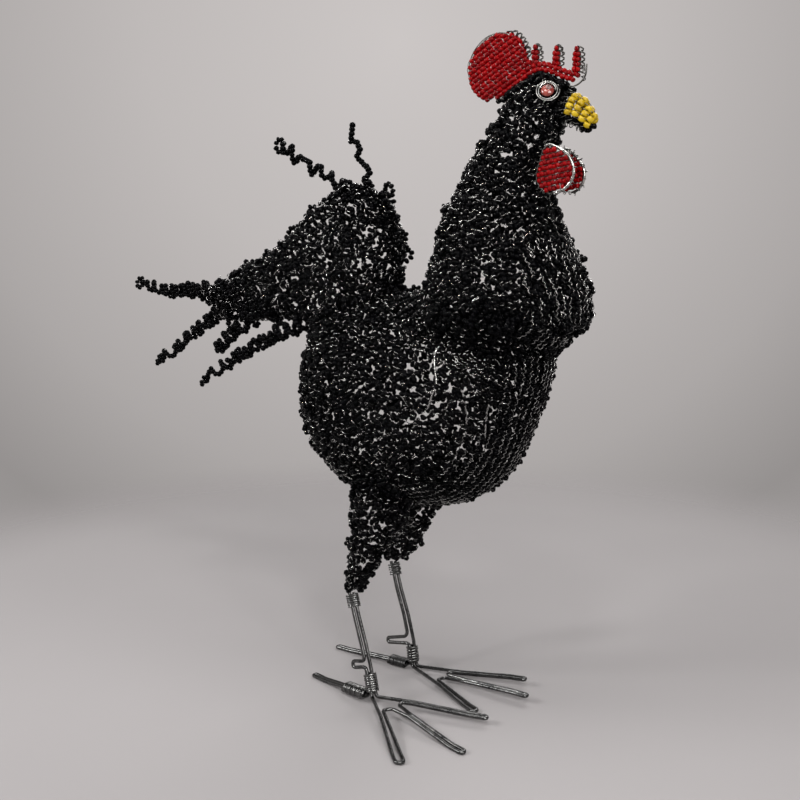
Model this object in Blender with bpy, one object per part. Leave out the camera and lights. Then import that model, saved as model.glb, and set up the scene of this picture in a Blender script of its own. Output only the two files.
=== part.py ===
# Standing rooster woven from beads threaded on thin wire, on legs of bent heavy wire.
# Tables are in millimetres and meshes in metres. x runs ahead to the beak, y to the
# bird's left and z up. The ground is z = 0 and y = 0 is the bird's middle plane.

import math

import bmesh
import bpy
import numpy as np
from mathutils import Vector

MM = 0.001
GAP = 0.35  # clearance between pieces that touch

# ---- heavy wire of the legs and feet
WIRE_RADIUS = 1.15
WIRE_SIDES = 6
RUN_HALF = 1.35  # half the distance between the two runs of a hairpin
FLAT_Z = WIRE_RADIUS * math.cos(math.pi / WIRE_SIDES)  # centre height of a wire on the ground
TIP_FLAT = 10.0  # level stretch at the end of a toe that touches the ground

# ---- binding wire
BIND_WALL = 1.0
ANKLE_WALL = 0.8
BACK_WALL = 1.3
BIND_CREST = 0.25  # how far a turn stands out of the valley beside it

FEET = {
    "right": {
        "leg": [  # middle line of the pair of wires, from the ankle up
            (12.2, -33.2, 6.0), (7.2, -32.0, 21.0), (1.5, -30.6, 36.0), (-5.0, -29.3, 51.5),
            (-10.8, -28.0, 66.5),
        ],
        "toes": [  # length, angle, rise of the tip, half the width between the runs there
            (71.5, 19.8, 3.5, 1.6), (79.2, -9.6, 0.0, 1.7), (74.0, -37.7, 0.0, 2.4),
        ],
        "reach": (18.3, 18.5),  # from the ankle to the arch on each side of the middle toe
        "arch": (4.4, 6.0),  # width of those arches
        "join": 15.0,  # past the arch, the middle toe's runs lie together
        "back": (58.3, 172.6),  # length and angle of the back toe
        "back_bound": (5.0, 24.4),  # stretch of the back toe under its binding
        "back_bound_z": 3.7,  # height of the back toe where that ends
        "spur": (10.5, 22.0, 25.0, 2.3),  # length, tip height, root height, half width
    },
    "left": {
        "leg": [
            (-1.8, 22.6, 3.1), (-4.6, 23.2, 19.5), (-10.0, 23.8, 36.5), (-16.6, 24.4, 53.0),
            (-22.0, 25.0, 70.0),
        ],
        "toes": [(74.0, 21.0, 4.0, 1.6), (83.7, 4.9, 4.0, 1.6), (71.0, -19.4, 0.0, 2.0)],
        "reach": (24.3, 25.0),
        "arch": (4.4, 6.0),
        "join": 14.0,
        "back": (63.5, -174.8),
        "back_bound": (4.8, 17.5),
        "back_bound_z": 3.1,
        "spur": (18.5, 15.5, 20.0, 1.6),
    },
}
ANKLE_BIND = (2.0, 12.6, 7)  # start and end above the ankle, turns
TOP_BIND = (1.5, 8.5, 5)  # start and end below the thigh, turns
BACK_BIND_TURNS = 9
PAIR_TURN = (50.0, 40.0)  # angle of the first leg wire about the pair, ankle and thigh
STUB_HALF = 1.3  # half the distance from the leg pair to the back toe's end beside it
STUB = 13.4  # the back toe's end stands up this far beside the leg

# ---- woven body: side outline at the middle plane (x, z), from the rump over the back
BODY_OUTLINE = [
    (-65, 192), (-61, 213), (-51, 232), (-30, 243), (2, 249), (36, 254), (76, 249),
    (104, 238), (110, 217), (102, 191), (93, 168), (80, 147), (57, 131), (20, 123.5),
    (-27, 128), (-54, 149), (-65, 170),
]
BODY_CENTRE = (20, 187)
BODY_HALF_WIDTH = 51.0
BODY_BANDS = 7  # loops between the middle plane and each flank

# ---- hackle, neck and head: x, z, half length, half width, tilt (front up)
HACKLE_STATIONS = [
    (76, 218, 26, 26, -4),
    (82, 243, 48.5, 46, -2),
    (82, 257, 48, 45, 0),
    (80, 272, 43, 40, 4),
    (77, 287, 37, 34.5, 8),
    (74.5, 301, 32.5, 29, 11),
    (78, 315, 28, 25, 14),
    (83.5, 329, 27.5, 22.5, 16),
    (90.5, 342, 26, 18.5, 18),
    (94.5, 353, 22, 15, 20),
    (96.5, 360.5, 18, 12.5, 16),
    (98.5, 366.8, 11, 8.5, 8),
]
HEAD_TOP = (99.5, 369.6)

# ---- tail plume: inner edge (x, z), outer edge (x, z), half thickness
TAIL_RIBS = [
    ((-62, 205), (0, 215), 19),
    ((-70, 230), (4, 250), 21),
    ((-74, 229), (5, 282), 21),
    ((-76, 229), (-5, 308), 20),
    ((-79, 229), (-37, 315), 18),
    ((-87, 228), (-77, 287), 15),
    ((-108, 225), (-103, 269), 13),
    ((-128, 221), (-130, 258), 11),
    ((-149, 222), (-157, 247), 8),
    ((-166, 228), (-169, 240), 4.5),
]

# ---- loose plume strands: radius at the root and the tip, then root to tip (x, y, z)
STRANDS = [
    (7.0, 4.2, [(-152, 0, 241), (-181, 0, 238.5), (-214, 0, 237), (-245, 0, 240)]),
    (6.0, 3.6, [(-139, 6, 236), (-165, 6, 222.5), (-192, 6, 206), (-211, 6, 194), (-233, 6, 182)]),
    (6.0, 5.0, [(-103, -8, 235), (-122, -8, 223.5), (-137, -8, 212), (-151, -8, 201)]),
    (6.5, 3.8, [(-57, -12, 231), (-89, -12, 217.5), (-128, -12, 198), (-164, -12, 177)]),
    (5.5, 3.8, [(-34, 0, 308), (-54, 0, 318), (-80, 0, 329), (-96, 0, 337)]),
    (4.8, 3.2, [(-26, 6, 307), (-27, 6, 315), (-30.5, 6, 327), (-35, 6, 337), (-40, 6, 348)]),
]

# ---- thighs: x, y, z, half length, half width, from inside the body down to the leg
THIGHS = {
    "right": [
        (21, -22, 160, 22, 16), (18, -24.5, 146, 23, 16.5), (13, -26, 129, 19.5, 17),
        (8.5, -27, 112, 16.5, 15), (3.5, -27.5, 98, 12.5, 12), (-2, -28, 84, 9.5, 9),
        (-7, -28, 74, 7.5, 7), (-10.5, -28, 67.2, 4.5, 4.5),
    ],
    "left": [
        (10, 22, 158, 22, 16), (6.5, 24.5, 142, 22, 16.5), (0, 25.5, 122, 19, 17),
        (-6, 25.5, 107, 15.5, 14.5), (-9.5, 25, 94, 12.5, 11.5), (-13, 25, 83, 10.5, 9),
        (-18, 25, 75, 7.5, 7), (-21.4, 25, 70.7, 4.5, 4.5),
    ],
}

# ---- comb plate: rear lobe from the front notch back and round to its foot, then the band
COMB_HALF = 1.35
COMB_LOBE = [
    (93, 380.5), (90.5, 387), (85, 392.8), (77, 395.3), (66.5, 392.8), (58.5, 386.5),
    (54.6, 378), (55.6, 369), (60.5, 362.5), (68.5, 358.7),
]
COMB_BAND_UNDER = [(76, 361), (88, 367.8), (98, 373), (106, 372.6), (114.5, 369.4), (121, 367.6)]
COMB_BAND_OVER = [(126.5, 371.5), (121.5, 373.8), (113, 376), (105.5, 378), (95.5, 378.6)]
COMB_SPIKES = [(98, 387.4), (111, 386.2), (123.3, 385.2)]  # x and height of each top
SPIKE_HALF = 2.2
COMB_WIRE_RADIUS = 0.65
COMB_WIRE_FRONT = [(113.5, 367.2), (118.5, 365.3), (124, 366.0), (128.2, 370), (129, 376)]

# ---- face
EYE_CENTRE = (112.8, 9.8, 362.9)
EYE_FACING = (0.38, 0.80, 0.46)
EYE_COIL = (3.95, 6.9, 0.75)  # inner radius, outer radius, half thickness
EYE_BEAD = (3.5, 1.9)  # radius, half thickness
BEAK_STATIONS = [  # x, z, half height, half width, tilt
    (106, 355.6, 8.8, 7.0, -4),
    (118, 355.2, 9.0, 7.2, -10),
    (125.5, 352.4, 8.2, 6.4, -20),
    (131.5, 348.0, 6.0, 4.8, -28),
    (135, 345.4, 3.0, 2.6, -34),
]
WATTLE_CENTRE = (116.6, 8.6, 322.0)
WATTLE_TURN = 15.0  # degrees the plate turns to face ahead
WATTLE_OUTLINES = {  # ahead and up from the centre, from the top round the front
    "right": [
        (-4.6, 12.8), (1.6, 11.3), (7.0, 7.4), (9.6, 1.4), (8.4, -4.6), (3.2, -9.4),
        (-3.0, -10.6), (-7.4, -7.6), (-9.2, -2.4), (-7.4, 5.6),
    ],
    "left": [
        (-6.0, 10.6), (-0.4, 8.6), (5.0, 5.2), (8.4, 0.6), (8.2, -4.8), (4.0, -9.2),
        (-2.4, -10.4), (-7.0, -7.6), (-9.0, -2.4), (-8.4, 5.0),
    ],
}
WATTLE_HALF = 1.3
WATTLE_RIM_RADIUS = 0.65

FINISHES = {  # colour, metallic, roughness
    "black_beads": ((0.012, 0.012, 0.014), 0.0, 0.22),
    "red_beads": ((0.45, 0.012, 0.02), 0.0, 0.2),
    "yellow_beads": ((0.85, 0.62, 0.02), 0.0, 0.35),
    "coral_glass": ((0.85, 0.25, 0.2), 0.0, 0.2),
    "heavy_wire": ((0.33, 0.33, 0.33), 1.0, 0.42),
    "binding_wire": ((0.38, 0.38, 0.37), 1.0, 0.38),
    "bright_wire": ((0.62, 0.6, 0.56), 1.0, 0.28),
}


# ------------------------------------------------------------------ curves


def spline(points, steps, closed=False):
    """Catmull-Rom curve through the points, with this many steps to each span."""
    p = np.asarray(points, float)
    if closed:
        p = np.vstack([p[-1], p, p[:2]])
    else:
        p = np.vstack([2 * p[0] - p[1], p, 2 * p[-1] - p[-2]])
    t = np.arange(steps)[:, None] / steps
    curve = [
        0.5 * (2 * b + (c - a) * t + (2 * a - 5 * b + 4 * c - d) * t**2
               + (3 * b - a - 3 * c + d) * t**3)
        for a, b, c, d in zip(p, p[1:], p[2:], p[3:])
    ]
    if not closed:
        curve.append(p[-2:-1])
    return np.vstack(curve)


def bent(corners, step=math.radians(40)):
    """Wire bent at corners (x, y, z, bend radius): straight runs joined by arcs."""
    at = np.array([c[:3] for c in corners], float)
    path = [at[0]]
    for before, here, after, (*_, radius) in zip(at, at[1:], at[2:], corners[1:]):
        back, ahead = before - here, after - here
        room = 0.499 * min(np.linalg.norm(back), np.linalg.norm(ahead))
        back, ahead = back / np.linalg.norm(back), ahead / np.linalg.norm(ahead)
        half = 0.5 * math.acos(np.clip(back @ ahead, -1, 1))
        if half > math.radians(84):
            path.append(here)
            continue
        run = min(radius / math.tan(half), room)
        radius = run * math.tan(half)
        middle = here + (back + ahead) / np.linalg.norm(back + ahead) * radius / math.sin(half)
        first, last = here + back * run - middle, here + ahead * run - middle
        turn = math.pi - 2 * half
        count = max(1, math.ceil(turn / step))
        for k in range(count + 1):
            share = k / count
            arm = (math.sin((1 - share) * turn) * first + math.sin(share * turn) * last)
            path.append(middle + arm / math.sin(turn))
    path.append(at[-1])
    return np.array(path)


def side_vectors(tangents):
    """A level vector across the path, carried on where the path is steep."""
    level = np.cross((0, 0, 1), tangents)
    known = [i for i, t in enumerate(tangents) if abs(t[2]) < 0.75]
    for i, t in enumerate(tangents):
        if known:
            level[i] = level[min(known, key=lambda k: abs(k - i))]
        else:
            level[i] = (0, 1, 0)
        level[i] -= (level[i] @ t) * t
    return level / np.linalg.norm(level, axis=1)[:, None]


def tangents_of(path):
    runs = np.diff(path, axis=0)
    runs /= np.linalg.norm(runs, axis=1)[:, None]
    tangents = np.vstack([runs[:1], runs[1:] + runs[:-1], runs[-1:]])
    return tangents / np.linalg.norm(tangents, axis=1)[:, None]


def tube(path, radii, sides, across=1.0):
    """Rings round a path, each with a flat facet underneath; across widens them."""
    tangents = tangents_of(path)
    level = side_vectors(tangents)
    upright = np.cross(tangents, level)
    angles = math.pi / 2 + (np.arange(sides) + 0.5) * 2 * math.pi / sides
    radii = np.broadcast_to(radii, len(path))
    return [
        p + r * (across * np.outer(np.cos(angles), s) + np.outer(np.sin(angles), u))
        for p, r, s, u in zip(path, radii, level, upright)
    ]


def ellipse(x, y, z, half_length, half_width, tilt, count):
    """Ring about a point, turned about the y axis so that its front rises by tilt."""
    a = np.arange(count) * 2 * math.pi / count
    t = math.radians(tilt)
    along = half_length * np.cos(a)
    return np.stack(
        [x + along * math.cos(t), y + half_width * np.sin(a), z + along * math.sin(t)], 1
    )


# ------------------------------------------------------------------ solids


def material(name):
    """The finish of that name, made once."""
    found = bpy.data.materials.get(name)
    if found:
        return found
    made = bpy.data.materials.new(name)
    made.use_nodes = True
    colour, metallic, roughness = FINISHES[name]
    shader = made.node_tree.nodes["Principled BSDF"]
    shader.inputs["Base Color"].default_value = (*colour, 1)
    shader.inputs["Metallic"].default_value = metallic
    shader.inputs["Roughness"].default_value = roughness
    made.diffuse_color = (*colour, 1)
    return made


def finish_mesh(name, bm, finish, grown=0.0):
    """Turns bm into an object; grown moves the skin out, for a cutter with clearance."""
    bmesh.ops.recalc_face_normals(bm, faces=bm.faces)
    if grown:
        bm.normal_update()
        moves = [v.normal * grown for v in bm.verts]
        for vertex, move in zip(bm.verts, moves):
            vertex.co += move
    bmesh.ops.scale(bm, vec=Vector((MM, MM, MM)), verts=bm.verts)
    mesh = bpy.data.meshes.new(name)
    bm.to_mesh(mesh)
    bm.free()
    mesh.materials.append(material(finish))
    mesh.shade_smooth()
    mesh.set_sharp_from_angle(angle=math.radians(50))
    piece = bpy.data.objects.new(name, mesh)
    bpy.context.collection.objects.link(piece)
    piece.parent = rooster
    if grown:
        piece.hide_render = True
        piece.display_type = "WIRE"
    return piece


def loft(name, rings, finish, grown=0.0, closed=False):
    """Skin over rings; a ring of one point is a pole, and open ends get flat caps."""
    bm = bmesh.new()
    rows = [[bm.verts.new(p) for p in ring] for ring in rings]
    pairs = list(zip(rows, rows[1:] + rows[:1])) if closed else list(zip(rows, rows[1:]))
    for a, b in pairs:
        count = max(len(a), len(b))
        for i in range(count):
            j = (i + 1) % count
            corners = [a[i % len(a)], a[j % len(a)], b[j % len(b)], b[i % len(b)]]
            bm.faces.new(list(dict.fromkeys(corners)))
    if not closed:
        for row in (rows[0], rows[-1]):
            if len(row) > 2:
                bm.faces.new(row)
    return finish_mesh(name, bm, finish, grown)


def plate(name, outline, half, finish, place):
    """Flat plate of this outline and half thickness, moved by place(s, t, offset)."""
    bm = bmesh.new()
    face = bm.faces.new([bm.verts.new(place(s, t, -half)) for s, t in outline])
    bmesh.ops.triangulate(bm, faces=[face])
    near = list(bm.faces)
    far = bmesh.ops.extrude_face_region(bm, geom=near, use_keep_orig=True)
    shift = Vector(place(0, 0, half)) - Vector(place(0, 0, -half))
    moved = [g for g in far["geom"] if isinstance(g, bmesh.types.BMVert)]
    bmesh.ops.translate(bm, vec=shift, verts=moved)
    return finish_mesh(name, bm, finish)


def cut(piece, *cutters):
    for cutter in cutters:
        boolean = piece.modifiers.new("clear_" + cutter.name, "BOOLEAN")
        boolean.operation = "DIFFERENCE"
        boolean.solver = "EXACT"
        boolean.object = cutter


# ------------------------------------------------------------------ woven parts


def body(name, grown=0.0):
    """Egg-shaped weave: loops of the side outline shrink towards a pole on each flank."""
    outline = spline(BODY_OUTLINE, 2, closed=True)
    middle = np.array(BODY_CENTRE, float)
    rings = []
    for k in range(-BODY_BANDS, BODY_BANDS + 1):
        angle = k / BODY_BANDS * math.pi / 2
        y = BODY_HALF_WIDTH * math.sin(angle)
        if abs(k) == BODY_BANDS:
            rings.append([(middle[0], y, middle[1])])
            continue
        loop = middle + (outline - middle) * math.cos(angle)
        rings.append([(x, y, z) for x, z in loop])
    return loft(name, rings, "black_beads", grown)


def hackle(name, grown=0.0):
    """Cape, neck and head: a cone of rings leaning over at the head."""
    rings = [ellipse(x, 0, z, a, b, tilt, 28) for x, z, a, b, tilt in HACKLE_STATIONS]
    rings.append([(HEAD_TOP[0], 0, HEAD_TOP[1])])
    return loft(name, rings, "black_beads", grown)


def tail(name, grown=0.0):
    """Plume arching up and back: oval ribs from its inner to its outer edge."""
    rings = []
    for inner, outer, thick in TAIL_RIBS:
        inner, outer = np.array(inner, float), np.array(outer, float)
        angles = np.arange(22) * 2 * math.pi / 22
        along = (inner + outer) / 2 + np.outer(np.cos(angles), (outer - inner) / 2)
        rings.append([(x, y, z) for (x, z), y in zip(along, thick * np.sin(angles))])
    return loft(name, rings, "black_beads", grown)


def strands(cutters):
    for number, (root, tip, route) in enumerate(STRANDS, 1):
        path = spline(route, 3)
        radii = np.linspace(root, tip, len(path))
        rings = tube(path, radii, 8)
        ahead = path[-1] + tip * tangents_of(path)[-1] * 0.7
        rings.append(rings[-1] * 0.5 + ahead * 0.5)
        cut(loft(f"tail_strand_{number}", rings, "black_beads"), *cutters)


def thighs(cutter):
    for side, stations in THIGHS.items():
        rings = [ellipse(x, y, z, a, b, 0, 16) for x, y, z, a, b in stations]
        cut(loft(f"thigh_net_{side}", rings, "black_beads"), cutter)


# ------------------------------------------------------------------ legs and feet


def leg_wires(foot):
    """Middle line of a leg from the ankle to the thigh, and unit vectors to its first wire."""
    line = np.array(foot["leg"], float)
    turns = np.radians(np.linspace(*PAIR_TURN, len(line)))
    return line, np.stack([np.cos(turns), np.sin(turns), np.zeros(len(line))], 1)


def along_leg(foot, z):
    """Point of a leg's middle line at this height."""
    line = np.array(foot["leg"], float)
    return np.array([*(np.interp(z, line[:, 2], line[:, i]) for i in (0, 1)), z])


def heel(foot):
    """Foot of the back toe's end beside the leg, with the unit vectors there."""
    turn, angle = math.radians(PAIR_TURN[0]), math.radians(foot["back"][1])
    across = np.array([math.cos(turn), math.sin(turn), 0])
    beside = np.array([-across[1], across[0], 0])
    back = np.array([math.cos(angle), math.sin(angle), 0])
    return np.array(foot["leg"][0]) + beside * 2 * STUB_HALF, across, beside, back


def toe_point(foot, toe, distance, offset, z):
    """Point at a distance along a toe, with an offset to its left."""
    angle = math.radians(foot["toes"][toe][1])
    along = np.array([math.cos(angle), math.sin(angle)])
    left = np.array([-along[1], along[0]])
    x, y = np.array(foot["leg"][0][:2]) + along * distance + left * offset
    return x, y, z


def toe_runs(foot, toe, start):
    """Outer end of a toe as corners: out along its left run, round, and back."""
    length, _, lift, tip_half = foot["toes"][toe]
    end_z = FLAT_Z + lift
    flat = length - TIP_FLAT
    corners = []
    for side in (1, -1):
        runs = [
            (*toe_point(foot, toe, start, side * RUN_HALF, foot["leg"][0][2]), 12),
            (*toe_point(foot, toe, flat, side * tip_half, end_z), 25),
            (*toe_point(foot, toe, length, side * tip_half, end_z), tip_half),
        ]
        corners += runs if side == 1 else runs[::-1]
    return corners


def leg_wire(side, foot):
    """One wire: down the leg, out and back along three toes, and up the leg again."""
    line, offsets = leg_wires(foot)
    first, second = line + offsets * RUN_HALF, line - offsets * RUN_HALF
    z = line[0, 2]
    reach, arch = foot["reach"], foot["arch"]
    corners = [
        *((*p, 20) for p in first[:0:-1]),
        (*first[0], 2.6),
        *toe_runs(foot, 0, reach[0] + 8),
        (*toe_point(foot, 0, reach[0], -RUN_HALF, z), 2.1),
        (*toe_point(foot, 0, reach[0], -RUN_HALF - arch[0], z), 2.1),
        *toe_runs(foot, 1, max(reach) + foot["join"]),
        (*toe_point(foot, 2, reach[1], RUN_HALF + arch[1], z), 2.9),
        (*toe_point(foot, 2, reach[1], RUN_HALF, z), 2.9),
        *toe_runs(foot, 2, reach[1] + 8),
        (*second[0], 2.6),
        *spur(foot),
        *((*p, 20) for p in second if p[2] > foot["spur"][2] + 5),
    ]
    loft(f"leg_wire_{side}", tube(bent(corners), WIRE_RADIUS, WIRE_SIDES), "heavy_wire")


def spur(foot):
    """Hairpin that the rear leg wire makes behind the leg, as corners from below."""
    length, tip_z, root_z, half = foot["spur"]
    line, offsets = leg_wires(foot)
    wire = line - offsets * RUN_HALF
    rear = [np.interp(root_z, line[:, 2], wire[:, i]) for i in range(2)]
    tip_x = rear[0] - length
    return [
        (rear[0], rear[1], root_z - 1.6, 1.6),
        (tip_x, rear[1], tip_z - half, half),
        (tip_x, rear[1], tip_z + half, half),
        (rear[0] - 0.6, rear[1], root_z + 1.6, 2.0),
    ]


def back_line(foot):
    """Middle line of the back toe: beside the leg, each end of its binding, and the tip."""
    end, _, _, back = heel(foot)
    left = np.array([-back[1], back[0], 0])
    near, far = foot["back_bound"]
    start = end + left * RUN_HALF
    bound = start + back * far
    bound[2] = foot["back_bound_z"]
    tip = start + back * (foot["back"][0] - (end - foot["leg"][0]) @ back)
    tip[2] = FLAT_Z
    return start, start + (bound - start) * near / far, bound, tip, left, back


def back_toe(side, foot):
    """Hairpin behind the ankle: one end stands beside the leg, one stops in the binding."""
    start, near, bound, tip, left, back = back_line(foot)
    top = along_leg(foot, start[2] + STUB) - along_leg(foot, start[2])
    aside = left * RUN_HALF
    corners = [
        (*(start - aside + top), 1),
        (*(start - aside), 2.6),
        (*(bound - aside), 40),
        (*(tip - back * TIP_FLAT - aside), 25),
        (*(tip - aside), RUN_HALF),
        (*(tip + aside), RUN_HALF),
        (*(tip - back * TIP_FLAT + aside), 25),
        (*(bound + aside), 40),
        (*(near - back + aside), 1),
    ]
    loft(f"back_toe_{side}", tube(bent(corners), WIRE_RADIUS, WIRE_SIDES), "heavy_wire")


def rounded(half_a, half_b, corner, count=8):
    """Rectangle with round corners, as offsets from its middle."""
    a = (np.arange(count) + 0.5) * 2 * math.pi / count
    c, s = np.cos(a), np.sin(a)
    return np.stack(
        [np.sign(c) * (half_a - corner) + corner * c, np.sign(s) * (half_b - corner) + corner * s],
        1,
    )


def binding(name, start, end, axis_a, hole, turns, wall=BIND_WALL):
    """Sleeve of close turns round a bundle of wires, from start to end."""
    start, end = np.array(start, float), np.array(end, float)
    along = (end - start) / np.linalg.norm(end - start)
    a = np.array(axis_a, float)
    a -= (a @ along) * along
    a /= np.linalg.norm(a)
    b = np.cross(along, a)
    half_a, half_b, corner = hole

    def ring(share, grow):
        outline = rounded(half_a + grow, half_b + grow, corner + grow)
        return start + (end - start) * share + outline @ np.array([a, b])

    outer = [ring(0, wall - BIND_CREST)]
    for k in range(turns):
        outer += [ring((k + 0.5) / turns, wall), ring((k + 1) / turns, wall - BIND_CREST)]
    loft(name, [*outer, ring(1, 0), ring(0, 0)], "binding_wire", closed=True)


def bindings(side, foot):
    """The three bindings of one leg: at the thigh, round the ankle and on the back toe."""
    pair = (RUN_HALF + WIRE_RADIUS + GAP, WIRE_RADIUS + GAP, WIRE_RADIUS + GAP)
    top = foot["leg"][-1][2]
    low, high, turns = TOP_BIND
    ends = along_leg(foot, top - high), along_leg(foot, top - low)
    binding(f"thigh_binding_{side}", *ends, leg_wires(foot)[1][-1], pair, turns)

    end, across, beside, _ = heel(foot)
    low, high, turns = ANKLE_BIND
    shift = beside * STUB_HALF
    ends = [along_leg(foot, end[2] + rise) + shift for rise in (low + WIRE_RADIUS, high)]
    bundle = (RUN_HALF + WIRE_RADIUS + GAP, STUB_HALF + WIRE_RADIUS + GAP, WIRE_RADIUS)
    binding(f"ankle_binding_{side}", *ends, across, bundle, turns, ANKLE_WALL)

    _, near, far, _, left, _ = back_line(foot)
    binding(f"back_toe_binding_{side}", near, far, left, pair, BACK_BIND_TURNS, BACK_WALL)


# ------------------------------------------------------------------ comb, face, wattles


def comb_edges():
    """Underside of the band and the whole outline, lobe first."""
    lobe = spline(COMB_LOBE, 2)
    under = spline([COMB_LOBE[-1], *COMB_BAND_UNDER], 2)[1:]
    over = []
    for x, z in COMB_BAND_OVER:
        over.append((x, z))
    outline = [*lobe, *under]
    crest = np.array(over[::-1])
    for x, top in COMB_SPIKES[::-1]:
        foot_front = np.interp(x + SPIKE_HALF, crest[:, 0], crest[:, 1])
        foot_back = np.interp(x - SPIKE_HALF, crest[:, 0], crest[:, 1])
        outline += [p for p in over if outline[-1][0] > p[0] > x + SPIKE_HALF]
        outline += [
            (x + SPIKE_HALF, foot_front), (x + SPIKE_HALF, top - 1.2),
            (x + SPIKE_HALF - 1.1, top), (x - SPIKE_HALF + 1.1, top),
            (x - SPIKE_HALF, top - 1.2), (x - SPIKE_HALF, foot_back),
        ]
    return under, outline


def comb():
    under, outline = comb_edges()
    plate("comb", outline, COMB_HALF, "red_beads", lambda s, t, off: (s, off, t))
    drop = COMB_WIRE_RADIUS + GAP + 0.15
    slopes = tangents_of(np.array(under)[:-2])
    below = [(x + s[1] * drop, z - s[0] * drop) for (x, z), s in zip(under[:-2], slopes)]
    route = spline([*below[::2], *COMB_WIRE_FRONT], 2)
    path = np.array([(x, 0, z) for x, z in route])
    loft("comb_frame_wire", tube(path, COMB_WIRE_RADIUS, 6), "bright_wire")


def turned(profile, centre, facing, count):
    """Rings of a profile (radius, height) turned about an axis through centre."""
    axis = Vector(facing).normalized()
    turn = axis.to_track_quat("Z", "X")
    rings = []
    for radius, height in profile:
        ring = []
        for k in range(count if radius else 1):
            a = 2 * math.pi * k / count
            point = Vector((radius * math.cos(a), radius * math.sin(a), height))
            ring.append(Vector(centre) + turn @ point)
        rings.append(ring)
    return rings


def eyes():
    for side, hand in (("right", -1), ("left", 1)):
        x, y, z = EYE_CENTRE
        centre = (x, y * hand, z)
        facing = (EYE_FACING[0], EYE_FACING[1] * hand, EYE_FACING[2])
        inner, outer, half = EYE_COIL
        middle, reach = (inner + outer) / 2, (outer - inner) / 2
        coil = [
            (middle + reach * c, half * s)
            for c, s in ((1, 0), (0.8, 1), (-0.8, 1), (-1, 0), (-0.8, -1), (0.8, -1))
        ]
        loft(f"eye_coil_{side}", turned(coil, centre, facing, 20), "bright_wire", closed=True)
        radius, thick = EYE_BEAD
        bead = [
            (radius * math.cos(a), thick * math.sin(a))
            for a in np.radians((-90, -50, -15, 20, 55, 90))
        ]
        bead[0], bead[-1] = (0, -thick), (0, thick)
        loft(f"eye_bead_{side}", turned(bead, centre, facing, 14), "coral_glass")


def beak(cutter):
    """Cone hooked down at the tip, set against the head."""
    rings = []
    for x, z, half_height, half_width, tilt in BEAK_STATIONS:
        ring = ellipse(0, 0, 0, half_height, half_width, 90 + tilt, 14)
        rings.append(ring + np.array([x, 0, z]))
    cut(loft("beak", rings, "yellow_beads"), cutter)


def wattles():
    for side, hand in (("right", -1), ("left", 1)):
        turn = math.radians(WATTLE_TURN)
        ahead = np.array([math.cos(turn), -hand * math.sin(turn), 0])
        out = np.array([math.sin(turn), hand * math.cos(turn), 0])
        centre = np.array(WATTLE_CENTRE) * (1, hand, 1)

        def place(s, t, off):
            return centre + ahead * s + out * off + np.array([0, 0, t])

        outline = spline(WATTLE_OUTLINES[side], 2, closed=True)
        plate(f"wattle_{side}", outline, WATTLE_HALF, "red_beads", place)
        grow = WATTLE_RIM_RADIUS + GAP
        ahead_2d = np.roll(outline, -1, axis=0) - np.roll(outline, 1, axis=0)
        normal = np.stack([ahead_2d[:, 1], -ahead_2d[:, 0]], 1)
        normal /= -np.linalg.norm(normal, axis=1)[:, None]
        rim = outline + normal * grow
        rings = []
        for (s, t), (u, v) in zip(rim, normal):
            angles = np.arange(6) * math.pi / 3
            rings.append([
                place(s + u * WATTLE_RIM_RADIUS * math.cos(a), t + v * WATTLE_RIM_RADIUS
                      * math.cos(a), WATTLE_RIM_RADIUS * math.sin(a))
                for a in angles
            ])
        loft(f"wattle_rim_{side}", rings, "bright_wire", closed=True)


# ------------------------------------------------------------------ the whole bird


def set_origin():
    """Moves the bird so that the origin is at the bottom centre of its box."""
    bpy.context.view_layer.update()
    graph = bpy.context.evaluated_depsgraph_get()
    corners = []
    for piece in rooster.children:
        if not piece.hide_render:
            shape = piece.evaluated_get(graph)
            corners += [shape.matrix_world @ Vector(c) for c in shape.bound_box]
    low, high = np.min(corners, axis=0), np.max(corners, axis=0)
    rooster.location = (-(low[0] + high[0]) / 2, -(low[1] + high[1]) / 2, -low[2])


for old in list(bpy.data.objects):
    bpy.data.objects.remove(old)
rooster = bpy.data.objects.new("rooster", None)
bpy.context.collection.objects.link(rooster)

body("body_net")
body_room = body("body_room", GAP)
hackle_room = hackle("hackle_room", GAP)
tail_room = tail("tail_room", GAP)
cut(hackle("hackle_net"), body_room)
cut(tail("tail_net"), body_room)
strands([tail_room, body_room])
thighs(body_room)
for leg_side, leg in FEET.items():
    leg_wire(leg_side, leg)
    back_toe(leg_side, leg)
    bindings(leg_side, leg)
comb()
eyes()
beak(hackle_room)
wattles()
set_origin()
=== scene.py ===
import math

import bpy
import numpy as np
from mathutils import Matrix, Vector
from mathutils.bvhtree import BVHTree


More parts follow.
